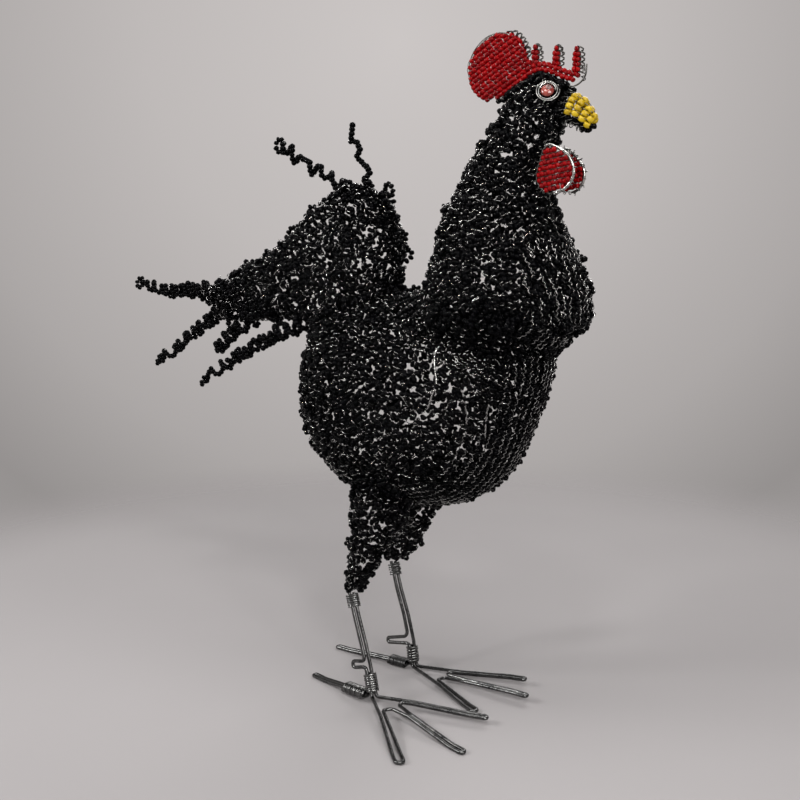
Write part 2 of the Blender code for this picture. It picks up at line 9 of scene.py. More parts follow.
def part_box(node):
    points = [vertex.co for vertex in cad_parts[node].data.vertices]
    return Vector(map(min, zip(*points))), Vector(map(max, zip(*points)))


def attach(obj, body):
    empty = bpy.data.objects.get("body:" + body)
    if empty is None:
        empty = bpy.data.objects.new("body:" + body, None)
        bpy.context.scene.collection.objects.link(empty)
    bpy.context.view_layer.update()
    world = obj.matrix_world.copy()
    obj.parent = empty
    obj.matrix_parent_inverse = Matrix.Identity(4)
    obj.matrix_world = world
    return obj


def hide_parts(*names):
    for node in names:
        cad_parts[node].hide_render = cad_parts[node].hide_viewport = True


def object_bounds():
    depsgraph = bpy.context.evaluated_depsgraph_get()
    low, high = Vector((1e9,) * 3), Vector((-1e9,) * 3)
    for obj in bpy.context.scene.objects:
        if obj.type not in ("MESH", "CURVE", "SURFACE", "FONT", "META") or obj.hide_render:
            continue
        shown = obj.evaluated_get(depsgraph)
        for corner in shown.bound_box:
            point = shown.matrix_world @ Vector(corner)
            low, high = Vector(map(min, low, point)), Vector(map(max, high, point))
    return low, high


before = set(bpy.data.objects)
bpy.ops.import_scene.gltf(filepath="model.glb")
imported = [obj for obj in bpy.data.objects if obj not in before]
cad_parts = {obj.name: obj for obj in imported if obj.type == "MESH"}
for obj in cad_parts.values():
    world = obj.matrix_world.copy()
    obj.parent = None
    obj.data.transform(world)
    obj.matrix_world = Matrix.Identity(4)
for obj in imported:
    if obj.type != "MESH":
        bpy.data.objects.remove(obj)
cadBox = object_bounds()
bpy.ops.object.select_all(action="DESELECT")
chance = np.random.default_rng(23)
mm = 0.001

low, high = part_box("body_net")
bodyAhead = 22.06  # mm from the bird's place forward to the middle of the body net
home = np.array([(low.x + high.x) / 2 - bodyAhead * mm, (low.y + high.y) / 2, 0.0])


def put(points):
    # points in mm from the bird's place on the floor, as metres in the frame
    return home + np.asarray(points, float) * mm


camera = dict(spot=(463, -546, 330), turn=40, dip=11.5, lens=54, sensor=36, near=0.01)
lampAim = (20, 0, 190)
lamps = [  # name, place in mm, size in m, watts, colour
    ("lampAbove", (150, -120, 1150), (1.0, 0.35), 6.5, (1.0, 0.985, 0.97)),
    ("lampLeft", (-650, -750, 700), (0.6, 0.4), 7.5, (1.0, 0.99, 0.98)),
    ("lampRight", (850, -650, 750), (0.6, 0.4), 7.5, (1.0, 0.985, 0.97)),
    ("lampFront", (950, -250, 380), (0.5, 0.25), 1.5, (1.0, 0.98, 0.96)),
    ("lampBack", (-250, 900, 900), (0.9, 0.5), 7.0, (1.0, 0.985, 0.975)),
    ("sparkAbove", (330, -420, 980), (0.10, 0.10), 2.3, (1.0, 0.99, 0.98)),
    ("sparkFront", (950, -380, 560), (0.09, 0.09), 1.4, (1.0, 0.99, 0.98)),
    ("sparkLeft", (-420, -760, 620), (0.10, 0.10), 2.0, (1.0, 0.99, 0.98)),
]


def setStage():
    bpy.ops.object.camera_add(
        location=put(camera["spot"]),
        rotation=(math.radians(90 - camera["dip"]), 0, math.radians(camera["turn"])),
    )
    view = bpy.context.object
    view.data.lens, view.data.sensor_width = camera["lens"], camera["sensor"]
    view.data.clip_start = camera["near"]
    bpy.context.scene.camera = view
    bpy.context.scene.view_settings.view_transform = "Standard"
    for name, place, size, power, colour in lamps:
        bpy.ops.object.light_add(type="AREA", location=put(place))
        lamp = bpy.context.object
        lamp.name = name
        lamp.data.shape = "RECTANGLE"
        lamp.data.size, lamp.data.size_y = size
        lamp.data.energy, lamp.data.color = power, colour
        aim = Vector(put(lampAim)) - lamp.location
        lamp.rotation_euler = aim.to_track_quat("-Z", "Y").to_euler()
    print("camera and lights placed")


class Tap:
    # one output socket, with the sums that the finishes use

    def __init__(self, finish, socket):
        self.finish, self.socket = finish, socket

    def sum(self, kind, first, second):
        return self.finish.node("ShaderNodeMath", {"operation": kind}, {0: first, 1: second})

    def __add__(self, other):
        return self.sum("ADD", self, other)

    def __rsub__(self, other):
        return self.sum("SUBTRACT", other, self)

    def __mul__(self, other):
        return self.sum("MULTIPLY", self, other)

    __radd__ = __add__
    __rmul__ = __mul__


class Finish:
    # the nodes of a material, or of the room, round its shader

    def __init__(self, stuff, shader="Principled BSDF", place="Object"):
        stuff.use_nodes = True
        self.stuff, self.tree = stuff, stuff.node_tree
        self.skin = self.tree.nodes[shader]
        self.spot = self.node("ShaderNodeTexCoord", out=place)

    def feed(self, socket, value):
        if isinstance(value, Tap):
            self.tree.links.new(value.socket, socket)
        elif hasattr(socket.default_value, "__len__") and len(socket.default_value) == 4:
            socket.default_value = (*value, 1) if len(value) == 3 else value
        else:
            socket.default_value = value

    def node(self, kind, settings=None, sockets=None, out=0):
        made = self.tree.nodes.new(kind)
        for key, value in (settings or {}).items():
            if key == "stops":
                while len(made.color_ramp.elements) < len(value):
                    made.color_ramp.elements.new(1)
                for element, (place, tone) in zip(made.color_ramp.elements, value):
                    element.position, element.color = place, (*np.broadcast_to(tone, 3), 1)
            else:
                setattr(made, key, value)
        for key, value in (sockets or {}).items():
            self.feed(made.inputs[key], value)
        return Tap(self, made.outputs[out])

    def noise(self, scale, detail, rough=0.5):
        return self.node(
            "ShaderNodeTexNoise", {},
            {"Vector": self.spot, "Scale": scale, "Detail": detail, "Roughness": rough},
        )

    def ramp(self, value, *stops):
        return self.node("ShaderNodeValToRGB", {"stops": stops}, {0: value})

    def fade(self, value, start, end, first, last):
        return self.node(
            "ShaderNodeMapRange", {"interpolation_type": "SMOOTHSTEP"},
            {"Value": value, "From Min": start, "From Max": end, "To Min": first, "To Max": last},
        )

    def farFrom(self, centre):
        settings, sockets = {"operation": "DISTANCE"}, {0: self.spot, 1: tuple(centre)}
        return self.node("ShaderNodeVectorMath", settings, sockets, out="Value")

    def blend(self, share, first, second):
        return self.node(
            "ShaderNodeMix", {"data_type": "RGBA"}, {0: share, 6: first, 7: second}, out=2
        )

    def bump(self, height, strength, depth):
        return self.node(
            "ShaderNodeBump", {}, {"Height": height, "Strength": strength, "Distance": depth}
        )

    def wear(self, **sockets):
        for key, value in sockets.items():
            self.feed(self.skin.inputs[key.replace("_", " ")], value)
        return self.stuff


def glassBeads(name, dark, light, gloss, coat, shine):
    # gloss is the least roughness, then what a bead's own tone adds and what the film on it adds
    f = Finish(bpy.data.materials.new(name))
    tone = f.node("ShaderNodeAttribute", {"attribute_name": "tone"}, out="Fac")
    film = f.noise(420, 2)
    return f.wear(
        Base_Color=f.blend(tone * 0.75 + film * 0.25, dark, light),
        Roughness=tone * gloss[1] + film * gloss[2] + gloss[0],
        Specular_IOR_Level=shine, Coat_Weight=coat, Coat_Roughness=0.06,
        Normal=f.bump(f.noise(1500, 1), 0.18, 0.0002),
    )


def drawnWire(name, dark, light, rough, scratch=0.08):
    # rough is the least roughness, then what the dark places add
    f = Finish(bpy.data.materials.new(name))
    stain = f.ramp(f.noise(95, 4, 0.65), (0.32, 0.0), (0.68, 1.0))
    fleck = f.ramp(f.noise(620, 3, 0.6), (0.4, 0.0), (0.62, 1.0))
    mask = stain * 0.6 + fleck * 0.4
    return f.wear(
        Base_Color=f.blend(mask, dark, light), Metallic=1.0,
        Roughness=(1 - mask) * rough[1] + rough[0],
        Normal=f.bump(f.noise(1300, 3, 0.6), scratch, 0.0002),
    )


def coralGlass(name, dark, light):
    f = Finish(bpy.data.materials.new(name))
    swirl = f.ramp(f.noise(260, 3, 0.6), (0.42, 0.0), (0.66, 1.0))
    return f.wear(
        Base_Color=f.blend(swirl, dark, light), Roughness=swirl * 0.12 + 0.10, Coat_Weight=0.8,
        Normal=f.bump(f.noise(700, 2), 0.12, 0.0003),
    )


finishes = {
    "black_beads": glassBeads(
        "blackGlass", (0.0002, 0.0002, 0.0003), (0.0010, 0.0010, 0.0014),
        gloss=(0.05, 0.07, 0.03), coat=0.0, shine=0.04,
    ),
    "red_beads": glassBeads(
        "redGlass", (0.09, 0.0002, 0.0010), (0.235, 0.0008, 0.0016),
        gloss=(0.10, 0.10, 0.08), coat=0.02, shine=0.10,
    ),
    "yellow_beads": glassBeads(
        "yellowGlass", (0.29, 0.185, 0.003), (0.45, 0.31, 0.009),
        gloss=(0.24, 0.10, 0.10), coat=0.08, shine=0.26,
    ),
    "coral_glass": coralGlass("coralGlass", (0.11, 0.010, 0.008), (0.22, 0.040, 0.030)),
    "net_wire": drawnWire("thinWire", (0.14, 0.14, 0.135), (0.86, 0.85, 0.84), (0.14, 0.17), 0.1),
    "heavy_wire": drawnWire("legWire", (0.014, 0.014, 0.015), (0.17, 0.17, 0.168), (0.16, 0.16)),
    "binding_wire": drawnWire("bindingWire", (0.03, 0.03, 0.03), (0.22, 0.22, 0.216), (0.18, 0.20)),
    "rim_wire": drawnWire("rimWire", (0.14, 0.135, 0.125), (0.80, 0.79, 0.76), (0.14, 0.16), 0.12),
    "comb_wire": drawnWire(
        "lashingWire", (0.03, 0.028, 0.026), (0.19, 0.185, 0.175), (0.18, 0.20), 0.1,
    ),
    "hook_wire": drawnWire("hookWire", (0.012, 0.011, 0.010), (0.11, 0.105, 0.10), (0.16, 0.20), 0.1),
    "dark_binding": drawnWire("darkBinding", (0.02, 0.02, 0.02), (0.12, 0.12, 0.12), (0.3, 0.25)),
    "bright_wire": drawnWire(
        "brightWire", (0.15, 0.147, 0.14), (0.50, 0.49, 0.47), (0.18, 0.20), 0.15,
    ),
}

floor = dict(
    middle=(20, 0), level=-0.2, radius=0.62, sides=96,
    thins=(0.40, 0.6076),  # from here to there it thins out into the room
    dark=(0.268, 0.255, 0.258), light=(0.297, 0.283, 0.286),
)
room = dict(
    bright=(-0.638, 0.76, 0.09),  # the way in which the tones start
    tones=(
        (0.0, 0.60), (0.2, 0.52), (0.36, 0.41), (0.46, 0.30), (0.60, 0.37), (0.80, 0.34), (1.0, 0.32),
    ),
    tint=(1, 0.945, 0.93),
    ceiling=(0.3, 0.62, 0.12),  # it grows dark from here to there, down to this share
)


def floorFinish():
    f = Finish(bpy.data.materials.new("paleFloor"))
    mottle = f.noise(3.0, 3, 0.5)
    f.wear(Base_Color=f.blend(mottle, floor["dark"], floor["light"]), Roughness=0.85 - mottle * 0.1)
    thinned = f.fade(f.farFrom(put((*floor["middle"], 0))), *floor["thins"], 0.0, 1.0)
    clear = f.node("ShaderNodeBsdfTransparent")
    blend = f.node("ShaderNodeMixShader", {}, {0: thinned, 1: Tap(f, f.skin.outputs[0]), 2: clear})
    f.tree.links.new(blend.socket, f.tree.nodes["Material Output"].inputs["Surface"])
    return f.stuff


def layFloor():
    bpy.ops.mesh.primitive_circle_add(
        vertices=floor["sides"], radius=floor["radius"], fill_type="NGON",
        location=put((*floor["middle"], floor["level"])),
    )
    ground = bpy.context.object
    ground.name = "floor"
    bpy.ops.object.transform_apply(location=True, rotation=True, scale=True)
    ground.data.materials.append(floorFinish())
    walls = Finish(bpy.data.worlds.new("room"), "Background", "Generated")
    tones = [(place, [tone * tint for tint in room["tint"]]) for place, tone in room["tones"]]
    height = walls.node("ShaderNodeSeparateXYZ", {}, {0: walls.spot}, out="Z")
    start, end, least = room["ceiling"]
    walls.wear(
        Color=walls.ramp(walls.farFrom(room["bright"]), *tones),
        Strength=walls.fade(height, start, end, 1.0, least),
    )
    bpy.context.scene.world = walls.stuff
    print("floor and backdrop made")


def curveThrough(points, steps, closed=False):
    # a smooth curve through these points, with this many steps to each span
    p = np.asarray(points, float)
    if closed:
        p = np.vstack([p[-1], p, p[:2]])
    else:
        p = np.vstack([2 * p[0] - p[1], p, 2 * p[-1] - p[-2]])
    t = np.arange(steps)[:, None] / steps
    curve = [
        0.5 * (2 * b + (c - a) * t + (2 * a - 5 * b + 4 * c - d) * t**2 + (3 * b - a - 3 * c + d) * t**3)
        for a, b, c, d in zip(p, p[1:], p[2:], p[3:])
    ]
    if not closed:
        curve.append(p[-2:-1])
    return np.vstack(curve)


def unit(vectors):
    return vectors / np.maximum(np.linalg.norm(vectors, axis=-1, keepdims=True), 1e-12)


def allRound(count):
    return np.arange(count) * 2 * math.pi / count


def headings(points):
    return unit(np.gradient(points, axis=0))


def lengthsAlong(points):
    return np.concatenate([[0], np.cumsum(np.linalg.norm(np.diff(points, axis=0), axis=1))])


def readAt(at, along, values):
    # each column of the values, read at these lengths
    return np.stack([np.interp(at, along, column) for column in values.T], 1)


def evenly(points, step):
    # the same line, with its points evenly apart
    along = lengthsAlong(points)
    count = max(2, int(round(along[-1] / step)) + 1)
    return readAt(np.linspace(0, along[-1], count), along, points)


def stretches(flags, least):
    # start and end of each unbroken stretch that is at least this long
    edges = np.flatnonzero(np.diff(np.concatenate([[0], flags.astype(int), [0]])))
    return [(start, end) for start, end in zip(edges[::2], edges[1::2]) if end - start >= least]


def pickEnds(bead):
    # selects the two end faces of a bead, in edit mode
    bpy.ops.object.mode_set(mode="EDIT")
    bpy.ops.mesh.select_mode(type="FACE")
    bpy.ops.mesh.select_all(action="DESELECT")
    bpy.ops.object.mode_set(mode="OBJECT")
    for face in bead.data.polygons:
        face.select = abs(face.normal.x) > 0.97
    bpy.ops.object.mode_set(mode="EDIT")


mouth = dict(lip=0.15, sunk=0.35)  # the mouth of a bead's hole: lip in mm, and how flat the hole lies
beadReach = 1.9  # mm from a bead's middle that stay inside the solids' box


def modelBead(sides, radius, length, ease, end, steps=1, hole=0.0):
    # one bead with its hole along x, in mm: ease rounds its ends, and end is the radius left flat
    bpy.ops.mesh.primitive_cylinder_add(
        vertices=sides, radius=radius * mm, depth=length * mm, rotation=(0, math.pi / 2, 0)
    )
    bead = bpy.context.object
    bpy.ops.object.transform_apply(location=True, rotation=True, scale=True)
    pickEnds(bead)
    ease = min(ease, length / 2)
    bpy.ops.mesh.bevel(offset=ease * mm, segments=steps, affect="EDGES")
    bpy.ops.mesh.select_all(action="SELECT")
    bpy.ops.mesh.remove_doubles(threshold=0.02 * mm)
    bpy.ops.object.mode_set(mode="OBJECT")
    pickEnds(bead)
    widen = end / (radius - ease)
    bpy.ops.transform.resize(value=(1, widen, widen))
    if hole:
        bpy.ops.mesh.inset(thickness=(end - hole) * mm, use_individual=True)
        bpy.ops.mesh.inset(thickness=mouth["lip"] * mm, use_individual=True)
        bpy.ops.transform.resize(value=(mouth["sunk"], 1, 1))
    bpy.ops.object.mode_set(mode="OBJECT")
    points = np.array([v.co[:] for v in bead.data.vertices])
    loops = np.array([i for face in bead.data.polygons for i in face.vertices])
    counts = np.array([len(face.vertices) for face in bead.data.polygons])
    bpy.data.objects.remove(bead)
    return points, loops, counts


def inBox(points, margin):
    # moves stray points back inside the solids' own box, by this margin in mm
    low, high = (np.array(corner) for corner in cadBox)
    return np.clip(points, low + margin * mm, high - margin * mm)


class Basket:
    # many small shapes that become one mesh, each with its own cell in the texture layout

    rim = 0.08  # bare share round a cell
    group = 6  # spans of wire to a cell

    def __init__(self):
        self.points, self.loops, self.counts, self.uv, self.tones = [], [], [], [], []
        self.total, self.cells = 0, 0

    def add(self, points, loops, counts, uv, cells, tones):
        self.points.append(points)
        self.loops.append(loops + self.total)
        self.counts.append(counts)
        self.uv.append(np.column_stack([uv, cells + self.cells]))
        self.tones.append(tones)
        self.total += len(points)
        self.cells += int(cells.max()) + 1

    def beads(self, bead, centres, axes, sizes=1.0, ups=None):
        n = len(centres)
        if not n:
            return
        points, loops, counts = bead
        centres = inBox(centres, beadReach)
        axes = unit(np.asarray(axes, float))
        aside = chance.normal(size=(n, 3)) if ups is None else np.asarray(ups, float)
        aside = unit(aside - (aside * axes).sum(1, keepdims=True) * axes)
        third = np.cross(axes, aside)
        shaped = points[None] * np.broadcast_to(sizes, n)[:, None, None]
        made = (
            centres[:, None] + shaped[..., :1] * axes[:, None]
            + shaped[..., 1:2] * aside[:, None] + shaped[..., 2:] * third[:, None]
        )
        flat = 0.5 + (0.5 - self.rim) * points[loops][:, 1:] / np.abs(points[:, 1:]).max()
        tones = np.repeat(chance.random(n), len(points))
        self.add(
            made.reshape(-1, 3), (np.arange(n)[:, None] * len(points) + loops).ravel(),
            np.tile(counts, n), np.tile(flat, (n, 1)), np.repeat(np.arange(n), len(loops)), tones,
        )

    def wire(self, points, radius, sides, normals=None, closed=False):
        points = np.asarray(points, float)
        n = len(points)
        if n < 2:
            return
        if closed:
            ahead = unit(np.roll(points, -1, 0) - np.roll(points, 1, 0))
        else:
            ahead = headings(points)
        if normals is None:
            normals = np.zeros_like(points)
            start = np.cross(ahead[0], (0.31, 0.52, 0.79))  # any way that is never along a wire
            for i in range(n):
                start = start - (start @ ahead[i]) * ahead[i]
                start = start / max(np.linalg.norm(start), 1e-12)
                normals[i] = start
        else:
            normals = unit(normals - (normals * ahead).sum(1, keepdims=True) * ahead)
        third = np.cross(ahead, normals)
        turn = allRound(sides)
        rings = points[:, None] + radius * (
            np.cos(turn)[None, :, None] * normals[:, None] + np.sin(turn)[None, :, None] * third[:, None]
        )
        spans = n if closed else n - 1
        shift = 0
        if closed:  # meet the first ring with the least twist
            gaps = [np.linalg.norm(np.roll(rings[0], -k, 0) - rings[-1]) for k in range(sides)]
            shift = int(np.argmin(gaps))
        i = np.arange(spans)[:, None]
        j = np.arange(sides)[None]
        after = (i + 1) % n
        slip = np.where(i == n - 1, shift, 0)
        beside = (j + 1) % sides
        loops = np.stack([
            i * sides + beside, after * sides + (beside + slip) % sides,
            after * sides + (j + slip) % sides, i * sides + j,
        ], -1).reshape(-1)
        counts = np.full(spans * sides, 4)
        u = ((i % self.group)[..., None] + np.array([0, 1, 1, 0])) / self.group + 0 * j[..., None]
        v = (j[..., None] + np.array([1, 1, 0, 0])) / sides + 0 * i[..., None]
        uv = self.rim + (1 - 2 * self.rim) * np.stack([u, v], -1).reshape(-1, 2)
        cells = np.repeat(np.arange(spans) // self.group, sides * 4)
        if not closed:
            caps = np.concatenate([np.arange(sides)[::-1], (n - 1) * sides + np.arange(sides)])
            loops = np.concatenate([loops, caps])
            counts = np.concatenate([counts, [sides, sides]])
            uv = np.vstack([uv, np.full((2 * sides, 2), 0.5)])
            cells = np.concatenate([cells, np.zeros(2 * sides, int)])
        tones = np.full(n * sides, chance.random())
        self.add(rings.reshape(-1, 3), loops, counts, uv, cells, tones)

    def make(self, name, finish, slotName, *nodes):
        points, loops = inBox(np.vstack(self.points), 0.0), np.concatenate(self.loops)
        counts, uv = np.concatenate(self.counts), np.vstack(self.uv)
        grid = math.ceil(math.sqrt(self.cells))
        cell = uv[:, 2]
        flat = np.stack([(cell % grid + uv[:, 0]) / grid, (cell // grid + uv[:, 1]) / grid], 1)
        mesh = bpy.data.meshes.new(name)
        mesh.vertices.add(len(points))
        mesh.vertices.foreach_set("co", points.ravel().astype(np.float32))
        mesh.loops.add(len(loops))
        mesh.loops.foreach_set("vertex_index", loops.astype(np.int32))
        mesh.polygons.add(len(counts))
        starts = np.cumsum(counts) - counts
        mesh.polygons.foreach_set("loop_start", starts.astype(np.int32))
        mesh.polygons.foreach_set("use_smooth", np.ones(len(counts), bool))
        mesh.uv_layers.new(name="OFBake").data.foreach_set("uv", flat.ravel().astype(np.float32))
        mesh.update(calc_edges=True)
        tone = mesh.attributes.new("tone", "FLOAT", "POINT")
        tone.data.foreach_set("value", np.concatenate(self.tones).astype(np.float32))
        piece = bpy.data.objects.new(name, mesh)
        bpy.context.scene.collection.objects.link(piece)
        settle(piece, finish, slotName, *nodes)


def settle(piece, finish, slotName, *nodes):
    # gives a finished piece its material and its place in the frame
    piece.data.materials.clear()
    piece.data.materials.append(finishes[finish])
    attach(piece, "root")
    if nodes:
        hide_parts(*nodes)
    faces = sum(len(p.vertices) - 2 for p in piece.data.polygons)
    print(f"{piece.name}: {faces} triangles")


skinNames = ("body_net", "hackle_net", "tail_net", "thigh_net_right", "thigh_net_left", "beak")
skins = {
    name: BVHTree.FromPolygons(
        [v.co[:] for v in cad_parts[name].data.vertices],
        [p.vertices[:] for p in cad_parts[name].data.polygons],
    )
    for name in skinNames
}


def depthIn(name, spot):
    # how far a point lies inside a skin; less than nothing is outside
    gap = skins[name].find_nearest(Vector(spot))[3]
    way, start, crossed = Vector((0.013, 0.021, 1.0)), Vector(spot), False
    while (hit := skins[name].ray_cast(start, way)[0]) is not None:
        crossed, start = not crossed, hit + way * 1e-5
    return gap if crossed else -gap


def facingAt(name, spot):
    # the way out of a skin, evened over the places round a spot
    reach, total = 5 * mm, Vector(skins[name].find_nearest(Vector(spot))[1])
    for axis in np.eye(3):
        for shift in (reach * axis, -reach * axis):
            total += skins[name].find_nearest(Vector(spot) + Vector(shift))[1]
    return total.normalized()


def runsOf(row, closed=False):
    # splits a row at its gaps
    if closed and all(s is not None for s in row):
        return [row + row[:1]]
    if closed:
        gap = next(i for i, spot in enumerate(row) if spot is None)
        row = row[gap:] + row[:gap]
    filled = np.array([spot is not None for spot in row])
    return [row[start:end] for start, end in stretches(filled, 3)]


def layRow(name, run):
    # even points along a run of the skin, with the way out and the way aside at each
    coarse = np.array(run)
    facing = np.array([facingAt(name, s) for s in coarse])
    both = evenly(np.hstack([coarse, facing * rowTurn]), rowStep * mm)  # closer where the skin turns
    points, out = both[:, :3], unit(both[:, 3:])
    if len(points) > 8:
        wide = np.pad(points, ((3, 3), (0, 0)), mode="edge")
        points = sum(wide[k:k + len(points)] for k in range(7)) / 7
        points[:2], points[-2:] = both[:2, :3], both[-2:, :3]
    aside = np.cross(out, headings(points))
    return dict(points=points, out=out, aside=aside, along=lengthsAlong(points))


def onRow(row, at, aside, out):
    # points at these lengths along a row, moved aside and out, and the ways out there
    points, sideways, outward = (readAt(at, row["along"], row[key]) for key in ("points", "aside", "out"))
    return points + sideways * aside[:, None] + outward * out[:, None], outward


def wander(at, length):
    # slow smooth wandering between -1 and 1
    phases = chance.random(3) * 2 * math.pi
    waves = [np.sin(at / length * 2 * math.pi * k + p) for k, p in zip((1.0, 1.7, 2.9), phases)]
    return (waves[0] + 0.7 * waves[1] + 0.5 * waves[2]) / 2.2


def scatter(name, count):
    # even random places on a skin, with the way out at each
    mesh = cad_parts[name].data
    corners = np.array([[mesh.vertices[i].co[:] for i in p.vertices] for p in mesh.polygons])
    across = np.cross(corners[:, 1] - corners[:, 0], corners[:, 2] - corners[:, 0])
    areas = np.linalg.norm(across, axis=1)
    picked = chance.choice(len(corners), count, p=areas / areas.sum())
    share, other = np.sqrt(chance.random(count))[:, None], chance.random(count)[:, None]
    spots = (
        corners[picked, 0] * (1 - share) + corners[picked, 1] * share * (1 - other)
        + corners[picked, 2] * share * other
    )
    return spots, unit(across[picked])


loose = {}


def loosen(name, count, least, most, wanted):
    # picks the places where the stitches of a skin stay open, well apart, so that none run together
    spots, facing = scatter(name, count * 8)
    spots = spots - facing * openings["depth"] * mm
    like = np.array([wanted((s - home) / mm, f) for s, f in zip(spots, facing)])
    picked = []
    for k in np.flatnonzero(chance.random(len(spots)) < like):
        gaps = np.linalg.norm(spots[picked] - spots[k], axis=1)
        if len(picked) < count and (gaps > openings["apart"] * mm).all():
            picked.append(k)
    loose[name] = spots[picked], chance.uniform(least, most, len(picked)) * mm


def opened(name, centres, spare=0.0):
    # which of these places keep out of the open stitches
    if name not in loose or not len(centres):
        return np.ones(len(centres), bool)
    spots, sizes = loose[name]
    gaps = np.linalg.norm(np.asarray(centres)[:, None] - spots[None], axis=2)
    return (gaps > sizes + spare * mm).all(1)


def wave(at, every, phase, stray, slow):
    # an uneven wave along a row, between -1 and 1
    return np.sin(at / (every * mm) * 2 * math.pi + phase + stray * wander(at, slow * mm))


def weave(beads, wires, name, run, feel):
    # threads beads along one run of a row, then the wire that locks them
    row = layRow(name, run)
    length = row["along"][-1]
    if length < rowLeast * mm:
        return
    count = int(length / (feel["pitch"] * mm))
    at = (np.arange(count) + 0.5 + chance.normal(0, 0.09, count)) * length / count
    phase = chance.random() * 6.28
    aside = feel["swing"] * wave(at, feel["swingEvery"], phase, 1.8, 50)
    aside = aside + feel["drift"] * wander(at, 34 * mm) + chance.normal(0, feel["stray"], count)
    out = feel["lift"] * wave(at, feel["liftEvery"], phase * 1.7, 1.5, 40)
    out = out + feel["lump"] * wander(at, 22 * mm) + chance.normal(0, feel["stray"], count) - feel["sink"]
    out += feel["proud"] * (chance.random(count) < feel["standing"])
    centres = onRow(row, at, aside * mm, out * mm)[0]
    axes = headings(centres) + chance.normal(0, 0.2, (count, 3))
    free = opened(name, centres)
    beads.beads(blackBead, centres[free], axes[free], chance.normal(1.0, 0.035, count)[free])
    share = feel["lines"](row["points"]) if callable(feel["lines"]) else feel["lines"]
    share = np.interp(at, row["along"], np.broadcast_to(share, len(row["along"])))
    arced = (chance.random(count) < feel["arcs"] * (1 - share)) & opened(name, centres, -0.4)
    layArcs(wires, row, at[arced], aside[arced], out[arced], feel)
    steps = np.arange(0, length, rowStep * mm)
    if len(steps) > 5:
        lashRow(wires, name, row, steps, np.interp(steps, at, share), feel)


def layArcs(wires, row, at, aside, out, feel):
    # short arcs of wire over the beads, towards the next row
    count = len(at)
    at = at + chance.normal(0, 0.5 * mm, count)
    over = aside + 0.45 * feel["row"] * chance.choice([-1, 1], count) * chance.uniform(0.5, 1.1, count)
    rise = out + chance.uniform(*feel["rise"], count)
    middles, ups = onRow(row, at, over * mm, rise * mm)
    if count > 1:
        ways = unit(readAt(at, row["along"], np.gradient(row["points"], axis=0)))
        ways = ways + np.cross(ups, ways) * chance.normal(0, 0.55, (count, 1))
        wires.beads(wireArc, middles, ways, chance.uniform(0.6, 1.3, count), ups)


def lashRow(wires, name, row, steps, share, feel):
    # unbroken lines of wire between the rows
    ripple = np.where(np.arange(len(steps)) % 4 < 2, 1.0, -1.0) + chance.normal(0, 0.2, len(steps))
    over = feel["row"] * 0.5 + 0.5 * ripple + 0.5 * wander(steps, 16 * mm)
    rise = 1.1 + 0.3 * np.roll(ripple, 1) + 0.3 * wander(steps, 11 * mm) - feel["sink"]
    points, normals = onRow(row, steps, over * mm, rise * mm)
    shown = wander(steps, 30 * mm) * 0.5 + 0.5 < share
    shown &= opened(name, points, -0.8)
    for start, end in stretches(shown, 5):
        wires.wire(points[start:end], feel["thread"] * mm, 3, normals[start:end])


def weaveRing(beads, wires, name, feel, centre, across, along, turns, keep, closed=True):
    # one row, where rays from a centre in one plane meet the skin
    row = []
    for turn in turns:
        spot = skins[name].ray_cast(Vector(centre), Vector(np.cos(turn) * across + np.sin(turn) * along))[0]
        row.append(np.array(spot) if spot is not None and keep(spot) else None)
    for run in runsOf(row, closed):
        weave(beads, wires, name, run, feel)


def fillGaps(beads, wires, name, keep, gap, sink, tries):
    # beads of the inner threads, wherever the rows leave a gap
    spots, facing = scatter(name, tries)
    spots = spots - facing * (sink + chance.random(tries) * 1.0)[:, None] * mm
    free = opened(name, spots, -0.2)
    spots, facing = spots[free], facing[free]
    cell, taken = gap * mm, {}
    size = len(blackBead[0])
    for spot in np.vstack([p.reshape(-1, size, 3).mean(1) for p in beads.points]):
        taken.setdefault(tuple((spot // cell).astype(int)), []).append(spot)
    chosen = []
    for k, spot in enumerate(spots):
        x, y, z = (spot // cell).astype(int)
        cells = [(x + i, y + j, z + l) for i in (-1, 0, 1) for j in (-1, 0, 1) for l in (-1, 0, 1)]
        near = [q for place in cells for q in taken.get(place, ())]
        if near and np.linalg.norm(np.array(near) - spot, axis=1).min() < cell or not keep(spot):
            continue
        taken.setdefault((x, y, z), []).append(spot)
        chosen.append(k)
    spots, facing = spots[chosen], facing[chosen]
    ways = np.cross(facing, chance.normal(size=spots.shape))
    beads.beads(blackBead, spots, ways, chance.normal(1.0, 0.03, len(spots)))
    some = chance.random(len(spots)) < 0.3
    ways = np.cross(facing, chance.normal((0.3, 0, 0.8), 0.5, spots.shape))
    wires.beads(wireArc, (spots + facing * 1.5 * mm)[some], ways[some], 1.0, facing[some])
    print(f"{name}: {len(chosen)} inner beads")


def modelArc(span, rise, radius):
    # a short bow of wire along x, standing up along y
    bow = Basket()
    x = np.array([-0.5, -0.22, 0.22, 0.5]) * span
    y = np.array([-1.0, 0.12, 0.12, -1.0]) * rise
    bow.wire(np.stack([x, y, 0 * x], 1) * mm, radius * mm, 3, np.tile((0.0, 1.0, 0.0), (4, 1)))
    return bow.points[0], bow.loops[0], bow.counts[0]


blackBead = modelBead(sides=6, radius=1.76, length=2.4, ease=0.65, end=1.0)
wireArc = modelArc(span=2.8, rise=0.8, radius=0.245)
plumeBead = modelBead(sides=7, radius=1.9, length=2.95, ease=0.8, end=1.15)
redBead = modelBead(sides=8, radius=1.4, length=1.95, ease=0.35, end=1.12, hole=0.4)
yellowBead = modelBead(sides=12, radius=2.12, length=2.85, ease=0.75, end=1.4, steps=2, hole=0.5)

